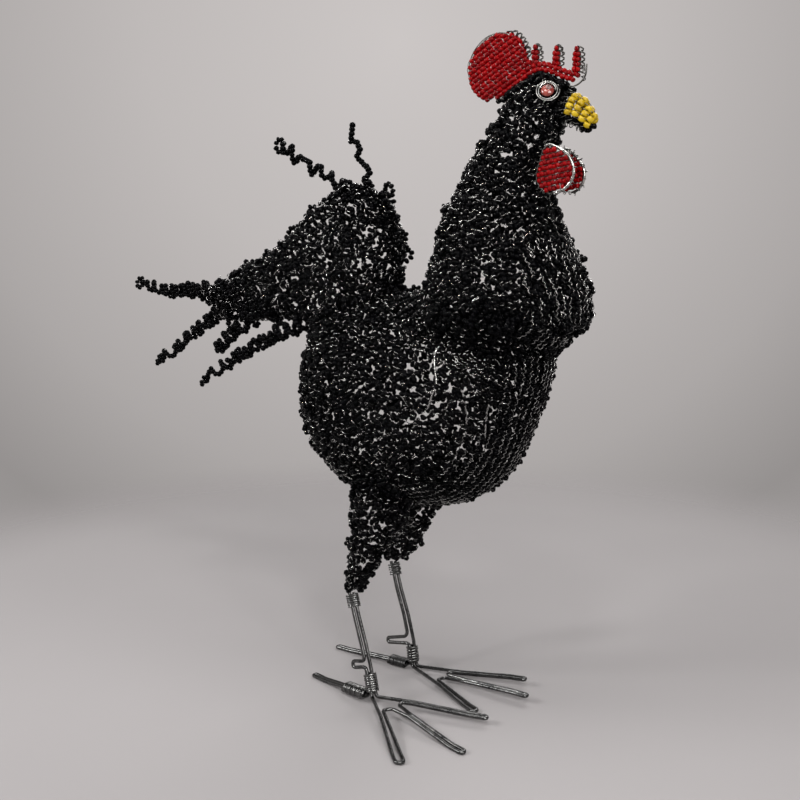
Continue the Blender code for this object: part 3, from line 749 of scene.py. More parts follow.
rowStep = 0.8  # mm between the points that a row is worked out on
rowTurn = 0.004  # m that a turn of the skin counts for
rowLeast = 5  # mm, the shortest row that is woven
openings = dict(depth=1.6, apart=4.7)  # mm, for the stitches that stay open
netFeel = dict(  # how rows lie on the nets, in mm and shares; each net changes some of it
    pitch=2.3, row=4.4,  # from bead to bead, and from row to row
    swing=1.0, drift=1.1,  # quick and slow wandering to the sides
    lift=0.6, lump=1.0, sink=1.6,  # quick and slow rising, and how deep the row lies
    stray=0.2, standing=0.06, proud=1.5,  # chance of each bead, share that stands out, and by how much
    rise=(1.15, 1.95), thread=0.25,  # height of the arcs of wire, and radius of the unbroken lines
)
# on every net: holes is how many stitches stay open and their least and greatest radius, and
# inner is the least gap between inner beads, their depth and the number of tries
bodyNet = dict(
    centre=(20, 0, 187), half=51, rise=64, rays=120,  # rings round a level axis, over breast and back
    levels=(126, 252, 4.15),  # rows on the flanks, from, to, step
    holes=(400, 2.2, 3.5), inner=(2.42, 1.6, 36000),
)


def onFlank(spot):
    # the sides and the rear, where the rows run level
    facing = skins["body_net"].find_nearest(Vector(spot))[1]
    return abs(facing.y) > 0.68 or (facing.x < -0.5 and facing.z > -0.8)


def openFlank(spot, facing):
    # chance of an opening: high on the flanks, small elsewhere, least below
    if abs(facing[1]) > 0.5 and 148 < spot[2] < 236 and -22 < spot[0] < 82:
        return 0.9
    return 0.12 if facing[2] > -0.3 else 0.03


def bodyLines(points):
    # the lashing shows most on the breast and the belly
    rise = (points - put(bodyNet["centre"])) / mm
    front = np.clip((rise[:, 0] - 25) / 30, 0, 1)
    under = np.clip((-rise[:, 2] - 28) / 20, 0, 1)
    return np.clip(0.1 + 0.9 * np.maximum(front, under), 0, 1)


bodyFeel = dict(
    netFeel, swingEvery=5.2, liftEvery=6.1, lump=0.6, drift=0.9, arcs=0.55, standing=0.13,
    lines=bodyLines,
)
flankFeel = dict(bodyFeel, swing=1.2, drift=1.5, lift=0.8, lump=1.1, arcs=0.66, lines=0.08)


def weaveBody():
    halves = {hand: (Basket(), Basket()) for hand in (-1, 1)}
    swept = np.linspace(0, math.pi / 2, 400)
    arc = lengthsAlong(np.stack([bodyNet["half"] * np.sin(swept), bodyNet["rise"] * np.cos(swept)], 1))
    rows = int(arc[-1] / bodyFeel["row"])
    turns = allRound(bodyNet["rays"])
    covers = ("hackle_net", "tail_net", "thigh_net_right", "thigh_net_left")
    shown = lambda spot: all(depthIn(cover, spot) < 2.0 * mm for cover in covers)
    centre = put(bodyNet["centre"])
    loosen("body_net", *bodyNet["holes"], openFlank)
    level, upright, aside = np.eye(3)[[0, 2, 1]]
    for k in range(-rows, rows + 1):
        angle = np.interp(abs(k) * arc[-1] / (rows + 0.35), arc, swept) * np.sign(k)
        start = centre + np.array([0, bodyNet["half"] * math.sin(angle) * mm, 0])
        keep = lambda spot: shown(spot) and not onFlank(spot)
        shifted = turns + chance.random() * 0.05
        weaveRing(*halves[1 if k > 0 else -1], "body_net", bodyFeel, start, level, upright, shifted, keep)
    for z in np.arange(*bodyNet["levels"]):
        for hand in (-1, 1):
            keep = lambda spot: shown(spot) and onFlank(spot) and (spot[1] - home[1]) * hand > 0
            start, tip = put((bodyNet["centre"][0], 0, z)), np.array([1.0, 0, chance.normal(0, 0.02)])
            shifted = turns + chance.random() * 0.05
            weaveRing(*halves[hand], "body_net", flankFeel, start, tip, aside, shifted, keep)
    for hand, (beads, wires) in halves.items():
        mine = lambda spot: (spot[1] - home[1]) * hand > 0 and shown(Vector(spot))
        fillGaps(beads, wires, "body_net", mine, *bodyNet["inner"])
    return halves


hackleNet = dict(
    spine=[  # x and z of the rings' middles
        (76, 218), (82, 243), (81.5, 257), (80, 272), (77, 287), (75.5, 301),
        (78.5, 315), (84, 329), (90.5, 342), (94.5, 353), (98, 362), (99, 372),
    ],
    lean=((225, 260, 300, 345, 372), (6, 17, 21, 18, 10)),  # heights, and the rings' slope in degrees
    rays=72, step=4.3, holes=(230, 1.9, 3.1), inner=(2.4, 1.8, 34000),
)
cape = dict(centre=(78, 258), sides=(-40, 41, 4.2), fan=(-85, 62, 4.5))
hackleFeel = dict(netFeel, swingEvery=5.1, liftEvery=5.9, arcs=0.92, lines=0.12)
capeFeel = dict(hackleFeel, lines=0.6)


def inCape(spot):
    # the front of the cape, where the rows run down it
    x, y, z = (np.array(spot) - home) / mm
    return z < 296 - abs(y) * 0.5 and x - 82 > 0.8 * abs(y) + 6


def clearOfBody(spot):
    return depthIn("body_net", spot) < -1.6 * mm


def weaveHackle():
    beads, wires = Basket(), Basket()
    wanted = lambda spot, facing: 0.9 if spot[2] > 318 else 0.34 if spot[2] > 225 else 0.1
    loosen("hackle_net", *hackleNet["holes"], wanted)
    clear = lambda spot: depthIn("body_net", spot) < -1.3 * mm
    turns = allRound(hackleNet["rays"])
    level, aside, upright = np.eye(3)
    for x, z in evenly(curveThrough(hackleNet["spine"], 8), hackleNet["step"]):
        lean = math.radians(np.interp(z, *hackleNet["lean"]))
        slope = np.array([math.cos(lean), 0, math.sin(lean)])
        keep = lambda spot: clear(spot) and not inCape(spot)
        shifted = turns + chance.random() * 0.08
        weaveRing(beads, wires, "hackle_net", hackleFeel, put((x, 0, z)), slope, aside, shifted, keep)
    fan = np.radians(np.arange(*cape["fan"]))
    for side in np.arange(*cape["sides"]):
        keep = lambda spot: clear(spot) and inCape(spot)
        start = put((cape["centre"][0], side, cape["centre"][1]))
        weaveRing(beads, wires, "hackle_net", capeFeel, start, level, upright, fan, keep, closed=False)
    fillGaps(beads, wires, "hackle_net", clearOfBody, *hackleNet["inner"])
    return beads, wires


tailNet = dict(
    outer=[
        (-166, 228), (-169, 240), (-157, 247), (-130, 258), (-103, 269), (-77, 287),
        (-37, 315), (-5, 308), (5, 282), (4, 250), (0, 215),
    ],
    under=[(-166, 228), (-149, 222), (-128, 221), (-108, 225), (-87, 228), (-76, 229), (-62, 205)],
    deep=36.0, thick=17.0, outerRows=15, underRows=2, holes=(280, 2.2, 4.0), inner=(2.5, 1.8, 20000),
)
tailFeel = dict(
    netFeel, pitch=2.35, swing=1.15, swingEvery=5.4, lift=0.8, liftEvery=6.6, lump=1.2,
    row=4.5, arcs=0.8, lines=0.1,
)


def weaveTail():
    # rows side by side, in from the plume's two edges
    beads, wires = Basket(), Basket()
    outer = evenly(curveThrough(tailNet["outer"], 10), 3.0)
    under = evenly(curveThrough(tailNet["under"], 8), 3.0)
    swept = np.linspace(0, math.pi, 300)
    deep, thick = tailNet["deep"], tailNet["thick"]
    loosen("tail_net", *tailNet["holes"], lambda spot, facing: 0.8)
    arc = lengthsAlong(np.stack([deep * (1 - np.cos(swept)), thick * np.sin(swept)], 1))
    skin = skins["tail_net"]
    for edge, other, rows, side in (
        (outer, under, tailNet["outerRows"], 1), (under, outer, tailNet["underRows"], -1),
    ):
        inward = side * (headings(edge) @ np.array([[0, -1], [1, 0]]))
        for k in range(rows):
            depth = np.interp(k * tailFeel["row"], arc, deep * (1 - np.cos(swept)))
            for hand in ((-1, 1) if k else (-1,)):
                row = []
                for x, z in edge + inward * max(depth, 1.0):
                    gap, away = (np.linalg.norm(line - (x, z), axis=1).min() for line in (edge, other))
                    if gap < depth - 0.8 or edge is outer and away < 4.5:
                        row.append(None)
                        continue
                    if k == 0:
                        spot = skin.find_nearest(Vector(put((x, 0, z))))[0]
                    else:
                        spot = skin.ray_cast(Vector(put((x, hand * 60, z))), Vector((0, -hand, 0)))[0]
                    hidden = spot is None or depthIn("body_net", spot) > -1.2 * mm
                    row.append(None if hidden else np.array(spot))
                for run in runsOf(row):
                    weave(beads, wires, "tail_net", run, tailFeel)
    fillGaps(beads, wires, "tail_net", clearOfBody, *tailNet["inner"])
    return beads, wires


thighNet = dict(
    right=[
        (20, -24, 152), (13, -26, 129), (8.5, -27, 112), (3.5, -27.5, 98), (-2, -28, 84),
        (-7, -28, 74), (-10.8, -28, 66.5),
    ],
    left=[
        (10, 23, 152), (0, 25.5, 122), (-6, 25.5, 107), (-9.5, 25, 94), (-13, 25, 83),
        (-18, 25, 75), (-22, 25, 70),
    ],
    rays=28, step=4.3, holes=(60, 2.0, 3.6), inner=(2.8, 1.8, 4000),
)
thighFeel = dict(
    netFeel, pitch=2.4, swing=1.1, swingEvery=5.4, lift=0.9, liftEvery=6.2, drift=0.9,
    row=4.7, arcs=0.6, lines=0.2,
)


def weaveThigh(side):
    beads, wires = Basket(), Basket()
    name = "thigh_net_" + side
    turns = allRound(thighNet["rays"])
    keep = lambda spot: depthIn("body_net", spot) < -1.0 * mm
    loosen(name, *thighNet["holes"], lambda spot, facing: 0.8)
    for centre in evenly(curveThrough(thighNet[side], 6), thighNet["step"])[:-1]:
        lean = math.radians(chance.normal(6, 6))
        slope = np.array([math.cos(lean), 0, math.sin(lean)])
        weaveRing(beads, wires, name, thighFeel, put(centre), slope, np.eye(3)[1], turns, keep)
    fillGaps(beads, wires, name, keep, *thighNet["inner"])
    return beads, wires


netPieces = [  # piece, skin, side of the body, standing loops, most beads in one of them
    ("bodyRight", "body_net", -1, 60, 5),
    ("bodyLeft", "body_net", 1, 60, 5),
    ("hackle", "hackle_net", 0, 90, 5),
    ("tail", "tail_net", 0, 75, 7),
    ("thighRight", "thigh_net_right", 0, 16, 5),
    ("thighLeft", "thigh_net_left", 0, 16, 5),
]


def standsClear(node, hand, spot, facing):
    # chance of a standing loop: only where no other net lies over the skin, and on the body behind
    if hand and not (facing[0] < -0.3 and facing[2] > -0.6 and spot[1] * hand > 0 and spot[2] < 225):
        return 0
    covers = [other for name, other, *_ in netPieces if other != node] if hand else ["body_net"]
    return 0.5 * all(depthIn(other, put(spot)) < -0.8 * mm for other in covers)


def weaveSkins():
    halves = weaveBody()
    woven = [
        halves[-1], halves[1], weaveHackle(), weaveTail(), weaveThigh("right"), weaveThigh("left"),
    ]
    for (name, node, hand, count, most), (beads, wires) in zip(netPieces, woven):
        wanted = lambda spot, facing: standsClear(node, hand, spot, facing)
        loopsOn(beads, wires, node, count, wanted, most)
        addEdgeLoops(name, beads, wires)
        addRibs(name, wires)
        if name == "hackle":
            addSkirt(beads, wires)
        beads.make(name + "Beads", "black_beads", "black_beads", node)
        wires.make(name + "Wire", "net_wire", "black_beads")
    print("skins woven")


def beadLoop(beads, wires, middle, first, second, radius, count, start=0.0):
    # a closed loop of beads on its wire, in the plane of first and second
    middle = inBox(middle, radius + beadReach)
    turn = start + allRound(count)
    around = lambda angle: np.cos(angle)[:, None] * first + np.sin(angle)[:, None] * second
    beads.beads(
        blackBead, middle + around(turn) * radius * mm,
        around(turn + math.pi / 2) + chance.normal(0, 0.12, (count, 3)), chance.normal(1.0, 0.03, count),
    )
    ring = np.linspace(0, 2 * math.pi, 13)[:-1]
    wires.wire(middle + around(ring) * (radius + 0.3) * mm, 0.22 * mm, 3, closed=True)


def loopsOn(beads, wires, name, count, wanted, most):
    # small loops that stand up from a skin
    spots, facing = scatter(name, count * 10)
    like = np.array([wanted((s - home) / mm, f) for s, f in zip(spots, facing)])
    for k in np.flatnonzero(chance.random(len(spots)) < like)[:count]:
        out = facing[k]
        first = unit(np.cross(out, chance.normal(size=3)))
        second = unit(np.cross(out, first) + out * chance.normal(0, 0.5))
        size = int(chance.integers(4, most + 1))
        middle = spots[k] + out * 0.4 * mm
        beadLoop(beads, wires, middle, first, second, size * 0.4 + 0.2, size, chance.random() * 6)


edgeLoops = {  # loops of beads that stand out: x, y, z, radius
    "tail": [
        (6.6, -1.5, 283, 3.5), (5.2, 4, 272, 3.3), (7.2, -0.8, 261, 3.6), (2.0, -3, 295, 3.3),
        (-6, 1, 307, 3.4), (5.6, 3, 250, 3.3), (-19, -2, 314, 3.3), (-45, 2, 310, 3.4),
        (-65, -1, 297, 3.3), (-86, 1, 283, 3.3), (-107, -2, 269, 3.1), (-129, 1, 260, 3.1),
        (-142, -1, 226, 3.1), (-122, 1, 222, 3.1), (-97, -1, 226, 3.2),
    ],
    "bodyRight": [(8, -7, 249.5, 3.0), (19.5, -3, 252, 3.2), (31, -2, 251.5, 3.0)],
}


def addEdgeLoops(name, beads, wires):
    skin = skins["tail_net" if name == "tail" else "body_net"]
    for x, y, z, radius in edgeLoops.get(name, ()):
        near, facing = (np.array(found) for found in skin.find_nearest(Vector(put((x, y, z))))[:2])
        proud = 2.6 if name == "tail" and x > -10 else chance.uniform(-0.4, 1.5)
        lean, radius = chance.normal(0, 0.6), radius * chance.uniform(0.7, 1.08)
        first = np.array([math.cos(lean), math.sin(lean), 0])
        second = np.array([0, chance.normal(0, 0.35), 1.0])
        middle, count = near + facing * proud * mm, round(radius * 2.2)
        beadLoop(beads, wires, middle, first, second, radius, count, chance.random())


skirt = dict(  # rows that carry the cape's lower edge down to the flanks and the back
    centre=(80, 0, 240), turns=(48, 313, 2.5), heights=(208, 264), reach=90, drop=13, widest=24,
    shares=(0.1, 0.32, 0.54, 0.76), pitch=2.5, arcs=0.95,
)


def skirtPlaces():
    # the cape's edge and the body under it, all round; nothing where the two are far apart
    edges, feet, ways = [], [], []
    x, y, _ = skirt["centre"]
    reach = skirt["reach"] * mm
    for angle in np.radians(np.arange(*skirt["turns"])):
        way = Vector((math.cos(angle), math.sin(angle), 0))
        for z in np.arange(*skirt["heights"], 1.0):
            start = Vector(put((x, y, z))) + way * skirt["reach"] * mm
            edge = skins["hackle_net"].ray_cast(start, -way, reach)[0]
            if edge is not None:
                break
        below = start - Vector((0, 0, skirt["drop"] * mm))
        foot = None if edge is None else skins["body_net"].ray_cast(below, -way, reach)[0]
        near = foot is not None and (edge - foot).length < skirt["widest"] * mm
        edges.append(edge[:] if near else [np.nan] * 3)
        feet.append(foot[:] if near else [np.nan] * 3)
        ways.append(way[:])
    return map(np.array, (edges, feet, ways))


def addSkirt(beads, wires):
    edges, feet, ways = skirtPlaces()
    good = ~np.isnan(edges[:, 0])
    print(f"skirt: {good.sum()} of {len(good)} places")
    for share in skirt["shares"]:
        for start, end in stretches(good, 3):
            line = edges[start:end] * (1 - share) + feet[start:end] * share - ways[start:end] * 1.2 * mm
            line = evenly(line, skirt["pitch"] * mm)
            outs = unit(line - put(skirt["centre"]))
            strayed = wander(np.arange(len(line)) * skirt["pitch"] * mm, 12 * mm)
            line = line + outs * (0.8 * strayed * mm)[:, None]
            line[:, 2] += 1.1 * np.sin(np.arange(len(line)) * 1.25 + chance.random() * 6) * mm
            ahead = headings(line) + chance.normal(0, 0.25, line.shape)
            beads.beads(blackBead, line, ahead, chance.normal(1.0, 0.04, len(line)))
            arced = chance.random(len(line)) < skirt["arcs"]
            spots = line + outs * 2.1 * mm + chance.normal(0, 0.6 * mm, line.shape)
            leans = ahead[arced] + chance.normal(0, 0.4, ahead[arced].shape)
            wires.beads(wireArc, spots[arced], leans, 1.0, outs[arced])


ribs = {  # single frame wires that show through the stitches
    "bodyRight": [
        [
            (67.2, -43.2, 254.4), (67.4, -43.6, 242.6), (63.6, -43.4, 226.3),
            (66.9, -44.2, 210.3), (65, -45, 202.5), (62.5, -46.4, 194),
        ],
        [(74.9, -40.8, 214.7), (80, -38.3, 206.2), (81.8, -36.6, 194.3), (81.8, -36, 185.6)],
        [(92.2, -28.8, 197.8), (90.8, -28.9, 190.7), (89.3, -27.4, 176.9)],
    ],
    "thighRight": [[(11.2, -42.6, 132.7), (5.9, -41.3, 106.8), (-1, -36.7, 82.1), (-5.4, -32.9, 70.4)]],
    "thighLeft": [[
        (6.4, 11.4, 116.5), (-1.5, 13, 101.5), (-8.8, 13.8, 91.8), (-12.8, 15.6, 83.2), (-16.7, 19.3, 73.3),
    ]],
}


def addRibs(name, wires):
    node = {"bodyRight": "body_net", "thighRight": "thigh_net_right", "thighLeft": "thigh_net_left"}
    for number, route in enumerate(ribs.get(name, ())):
        path = put(evenly(curveThrough(route, 8), 1.0))
        sink = -1.6 if name.startswith("thigh") else -0.5 if number else 0.3
        hits = [skins[node[name]].find_nearest(Vector(p))[:2] for p in path]
        near, out = (np.array([hit[i][:] for hit in hits]) for i in (0, 1))
        path, out = near + out * sink * mm, unit(out)
        aside = np.cross(out, headings(path))
        turn = lengthsAlong(path) / (5.5 * mm) * 2 * math.pi
        for phase in (0, math.pi):  # two wires twisted together
            twist = np.cos(turn + phase)[:, None] * aside + np.sin(turn + phase)[:, None] * out
            wires.wire(path + twist * 0.32 * mm, 0.27 * mm, 5, out)


strands = [  # radius at the root and the tip, beads in the loop at the tip, doubled share, root to tip
    (7.0, 4.2, 7, 0.62, [(-149, 0, 241), (-181, 0, 238.5), (-214, 0, 237), (-240, 0, 239.5)]),
    (6.0, 3.6, 6, 0.74, [(-136, 6, 238), (-165, 6, 222.5), (-192, 6, 206), (-211, 6, 194), (-229, 6, 184.5)]),
    (6.0, 5.0, 4, 1.0, [(-100, -8, 237), (-122, -8, 223.5), (-137, -8, 212), (-149, -8, 202.5)]),
    (6.5, 3.8, 5, 0.74, [(-57, -12, 231), (-89, -12, 217.5), (-128, -12, 198), (-160, -12, 179.5)]),
    (5.5, 4.4, 8, 0.16, [(-32, 0, 307), (-54, 0, 318), (-80, 0, 329), (-92, 0, 335)]),
    (4.8, 3.2, 0, 0.0, [(-26, 6, 305), (-27, 6, 315), (-30.5, 6, 327), (-35, 6, 337), (-40, 6, 347)]),
]
strandFeel = dict(turn=12.0, pitch=2.7, arcs=0.6, thread=0.24)


def coilLine(path, radius, every, phase, flat):
    # an uneven coil wound round a path; radius and every in mm, and flat is its thickness
    path = evenly(np.asarray(path, float), 0.4)
    along = lengthsAlong(path)
    ahead = headings(path)
    aside = unit(np.cross(ahead, (0.1, 1.0, 0.15)))
    third = np.cross(ahead, aside)
    reach = np.interp(along, [0, along[-1]], radius)
    angle = along / every * 2 * math.pi + phase + 1.2 * np.sin(along / every * 1.7 + phase * 1.9)
    angle = angle + 1.9 * wander(along * mm, 24 * mm)
    swell = 1 + 0.3 * wander(along * mm, 21 * mm)
    zigzag = swell * np.arcsin(0.9 * np.cos(angle)) / 1.15
    zigzag = zigzag + 0.25 * np.sin(angle * 0.37 + phase * 2) + 0.12 * np.sin(angle * 2.3)
    return path + (reach * zigzag)[:, None] * aside + (reach * np.sin(angle) * flat)[:, None] * third


def threadStrand(beads, wires, line):
    spots = put(evenly(line, strandFeel["pitch"])) + chance.normal(0, 0.15 * mm, (1, 3))
    axes = headings(spots) + chance.normal(0, 0.2, spots.shape)
    beads.beads(plumeBead, spots, axes, chance.normal(1.0, 0.04, len(spots)))
    wires.wire(put(evenly(line, 1.0)), strandFeel["thread"] * mm, 3)
    ups = chance.normal(size=spots.shape)
    ways = headings(spots) + chance.normal(0, 0.4, spots.shape)
    arced = chance.random(len(spots)) < strandFeel["arcs"]
    wires.beads(wireArc, (spots + unit(ups) * 1.1 * mm)[arced], ways[arced], 1.0, ups[arced])


def makeStrands():
    for number, (root, tip, ending, doubled, route) in enumerate(strands, 1):
        beads, wires = Basket(), Basket()
        path, turn = curveThrough(route, 10), strandFeel["turn"]
        lines = [coilLine(path, (root * 0.7, tip * 0.84), turn, number, 0.35)]
        if doubled:  # the inner part has a second line that crosses the first
            part = path[: math.ceil(len(path) * doubled)]
            lines.append(coilLine(part, (root * 0.85, tip * 0.7), turn * 0.76, number + 2.7, 0.6))
        for line in lines:
            threadStrand(beads, wires, line)
        if ending:
            end, back = path[-1], unit(path[-1] - path[-4])
            radius = ending * strandFeel["pitch"] / (2 * math.pi) + 0.3
            middle, upright = put(end + back * (radius - 1.2)), np.array([0.1, 0.3, 1.0])
            beadLoop(beads, wires, middle, back, upright, radius, ending)
        beads.make(f"strand{number}Beads", "black_beads", "black_beads", f"tail_strand_{number}")
        wires.make(f"strand{number}Wire", "net_wire", "black_beads")
    print("strands wound")


comb = dict(
    lobe=[
        (93, 380.5), (90.5, 387), (85, 392.8), (77, 395.3), (66.5, 392.8), (58.5, 386.5), (54.6, 378),
        (55.6, 369), (60.5, 362.5), (68.5, 358.7),
    ],
    under=[(76, 361), (88, 367.8), (98, 373), (106, 372.6), (114.5, 369.4), (121, 367.6)],
    behind=[(38, 339.5), (57, 350)],  # where the rows' first line starts, behind the lobe
    ahead=(127, 366.4),
    over=[(126.5, 371.5), (121.5, 373.8), (113, 376), (105.5, 378), (95.5, 378.6)],
    spikes=[(98, 387.4), (111, 386.2), (123.3, 385.2)],
    rear=[(55.6, 369.5), (54.4, 378), (58.2, 386.6), (66.2, 393.0), (76.5, 394.9), (84.2, 392.6)],
    front=[(113.5, 367.2), (118.5, 365.3), (124, 366), (128.2, 370), (129, 376)],
    crown=[(79, 360.6), (86, 364.8), (92, 368.2), (98, 371.2), (105, 371.2), (111, 369), (117, 365.8)],
    lashings=(367.6, 369.8, 371.8, 373.6),
    rows=16, row=2.6, pitch=1.75, bandRows=3, hook=0.42,
    bandEnd=126.5, bandSlope=0.4,  # x where the band's rows end, and how far each one falls back
    lobeEnd=94, hooksFrom=76, loopsTo=72,  # x where the upper rows may start, and where hooks and loops go
)


def within(outline, spots, margin):
    # which plane points lie inside an outline, this far from its edge
    start, end = outline, np.roll(outline, -1, 0)
    x, z = spots[:, :1], spots[:, 1:]
    slope = (end[:, 0] - start[:, 0]) / (end[:, 1] - start[:, 1] + 1e-12)
    crosses = ((start[:, 1] > z) != (end[:, 1] > z)) & (x < slope * (z - start[:, 1]) + start[:, 0])
    edge = end - start
    share = np.clip(((spots[:, None] - start) * edge).sum(2) / (edge**2).sum(1), 0, 1)
    gap = np.linalg.norm(spots[:, None] - start - share[..., None] * edge, axis=2).min(1)
    return (crosses.sum(1) % 2 == 1) & (gap > margin)


def beadRuns(outline, line, margin, pitch):
    # evenly spaced bead places where a line crosses an outline
    line = evenly(np.asarray(line, float), 0.25)
    inside = within(outline, line, margin)
    return [evenly(line[start:end], pitch) for start, end in stretches(inside, 5)]


def bowBetween(first, last, out, reach, count=6):
    # a bow from one point to the other, that swings out sideways
    turn = np.linspace(0, math.pi, count)[:, None]
    first, last, out = (np.asarray(v, float) for v in (first, last, out))
    return (first + last) / 2 - np.cos(turn) * (last - first) / 2 + np.sin(turn) * unit(out) * reach


def onPlane(spots, y=0.0):
    # side-view places in mm, at this distance from the bird's middle plane
    return put(np.column_stack([spots[:, 0], np.broadcast_to(y, len(spots)), spots[:, 1]]))


def combRows(beads, base, normal):
    # rows of red beads over the lobe and the band; gives back their ends, in front and behind
    outline = np.vstack([curveThrough(comb["lobe"], 5), curveThrough(comb["under"], 5), comb["over"]])
    ends, starts = [], []
    for k in range(comb["rows"]):
        line = base + normal * (1.15 + comb["row"] * k)
        if k < comb["bandRows"]:  # the rows of the band stop at its front end
            line = line[line[:, 0] < comb["bandEnd"] - comb["bandSlope"] * k]
        for run in beadRuns(outline, line, 0.7, comb["pitch"]):
            if k >= comb["bandRows"] and run[0, 0] > comb["lobeEnd"]:
                continue
            stagger = 0.22 * np.where(np.arange(len(run)) % 2, 1, -1)
            spots = onPlane(run + stagger[:, None] * (0.3, 1.0), stagger + chance.normal(0, 0.1, len(run)))
            axes = headings(spots) + chance.normal(0, 0.14, spots.shape)
            beads.beads(redBead, spots, axes, chance.normal(1.0, 0.03, len(run)))
            if k >= comb["bandRows"] and run[-1, 0] > comb["hooksFrom"]:
                ends.append(run[-1])
            if run[0, 0] < comb["loopsTo"]:
                starts.append(run[0])
    return ends, starts


def hookLobe(wires, hooks, ends, starts):
    for this, after in zip(ends, ends[1:]):  # double bows down the front edge
        out = unit(np.array([after[1] - this[1], this[0] - after[0]]))
        out = out if out[0] > 0 else -out
        for y, shift in ((-0.75, 0.0), (0.55, 0.9)):
            path = bowBetween(this + out * 0.6, after + out * 0.6, out, 3.1 - shift * 0.6)
            path = onPlane(path + (after - this) * shift * 0.35, y + 0.5 * np.sin(np.linspace(0, 3, 6)))
            hooks.wire(inBox(path, 0.5), comb["hook"] * mm, 5)
    for this, after in zip(starts, starts[1:]):  # small loops at the rear ends
        path = bowBetween(this - (0.7, 0), after - (0.7, 0), (-1, 0.1), 1.1)
        wires.wire(onPlane(path, chance.normal(0, 0.4)), 0.24 * mm, 3)


def threadSpikes(beads, wires, hooks):
    crest = np.array(comb["over"][::-1])
    for number, (x, top) in enumerate(comb["spikes"]):
        foot = np.interp(x, crest[:, 0], crest[:, 1])
        for level, z in enumerate(np.arange(top - 1.5, foot - 1.4, -2.5)):
            row = np.array([(x - 1.35, z), (x + 0.7, z - 0.3)] if level else [(x - 0.2, z)])
            spots = onPlane(row, chance.normal(0, 0.2, len(row)))
            beads.beads(redBead, spots, (1.0, 0.1, -0.15) + chance.normal(0, 0.15, spots.shape), 1.05)
            edge = row[-1, 0] + 1.0
            for y, reach in ((-0.6, 3.7), (0.6, 3.1)):
                path = bowBetween((edge - 0.8, z - 1.4), (edge - 0.6, z + 1.1), (1, -0.1), reach)
                hooks.wire(onPlane(path, y), comb["hook"] * mm, 5)
            if level:
                path = bowBetween((x - 1.6, z - 1.2), (x - 1.6, z + 1.2), (-1, 0), 1.3)
                wires.wire(onPlane(path, 0.2), 0.22 * mm, 3)
        if number < 2:  # a double bow from this spike towards the next
            path = bowBetween((x - 1.4, top - 2.2), (x + 3.1, top - 3.6), (0.25, 1.0), 2.9, 9)
            hooks.wire(onPlane(path, -0.5), 0.46 * mm, 5)
            hooks.wire(onPlane(path - (0.2, 0.9), 0.6), 0.4 * mm, 5)


def threadCrown(crown, wires):
    # the top of the head, up against the band
    under = evenly(curveThrough(comb["crown"], 6), 0.5)
    for y in (-5.4, -2.7, 0, 2.7, 5.4):
        row = evenly(under - (0, 0.09 * y * y), 2.5)
        row = row + chance.normal(0, 0.55, row.shape)
        spots = onPlane(row, y) + chance.normal(0, 0.3 * mm, (len(row), 3))
        crown.beads(blackBead, spots, chance.normal(size=spots.shape))
        some = row[chance.random(len(row)) < 0.5] + (0, 0.6)
        ways = chance.normal((1, 0, 0), 0.6, (len(some), 3))
        ups = np.tile((0, np.sign(y), 0.5), (len(some), 1))
        wires.beads(wireArc, onPlane(some, y * 1.3), ways, 1.0, ups)


def layCombFrame(base, normal):
    # the wire along the comb's foot, deepest where it is hidden behind the crown
    shown = (base[:, 0] > 75) & (base[:, 0] < 113)
    sunk = 1.1 + 1.5 * np.sin(np.clip((base[shown, 0] - 84) / 27, 0, 1) * math.pi) ** 0.7
    below = base[shown] - normal[shown] * sunk[:, None]
    route = evenly(curveThrough([*below[::12], *comb["front"]], 8), 0.8)
    wire = drawWire("combFrameWire", onPlane(route), 0.5, 2, 0.8)
    settle(wire, "comb_wire", "bright_wire", "comb_frame_wire")


def makeComb():
    beads, wires, hooks, crown = Basket(), Basket(), Basket(), Basket()
    base = evenly(curveThrough([*comb["behind"], *comb["under"], comb["ahead"]], 6), 0.5)
    slope = headings(base)
    normal = np.stack([-slope[:, 1], slope[:, 0]], 1)
    hookLobe(wires, hooks, *combRows(beads, base, normal))
    threadSpikes(beads, wires, hooks)
    threadCrown(crown, wires)
    rear = evenly(curveThrough(comb["rear"], 6), 1.5)
    rear = (75, 376) + (rear - (75, 376)) * 0.97
    for y, radius in ((0.9, 0.4), (-0.9, 0.34)):
        wires.wire(onPlane(rear, y), radius * mm, 5)
    for z in comb["lashings"]:  # round the front end of the band
        path = bowBetween((125.4, z), (125.8, z + 1.9), (1, 0), 2.4)
        hooks.wire(onPlane(path, chance.normal(0, 0.5)), 0.3 * mm, 4)
    beads.make("combBeads", "red_beads", "red_beads", "comb")
    crown.make("crownBeads", "black_beads", "black_beads")
    wires.make("combWire", "comb_wire", "bright_wire")
    hooks.make("combHooks", "hook_wire", "bright_wire")
    layCombFrame(base, normal)
    print("comb threaded")


eye = dict(
    centre=(112.0, 9.8, 363.0), facing=(0.38, 0.76, 0.54),
    inner=4.15, outer=6.3, turns=2.1, wire=0.27,  # the spiral of wire
    bead=(3.5, 1.9), hole=(-0.7, 0.6, 1.3, 0.55),  # radius and half thickness; place, width and depth
    curl=(1.5, 0.25), curlTurns=1.6, curlWire=0.2,  # the end of the wire, on the bead
)


def spiral(centre, reach, turn, first, second):
    return centre + (reach * np.cos(turn))[:, None] * first + (reach * np.sin(turn))[:, None] * second


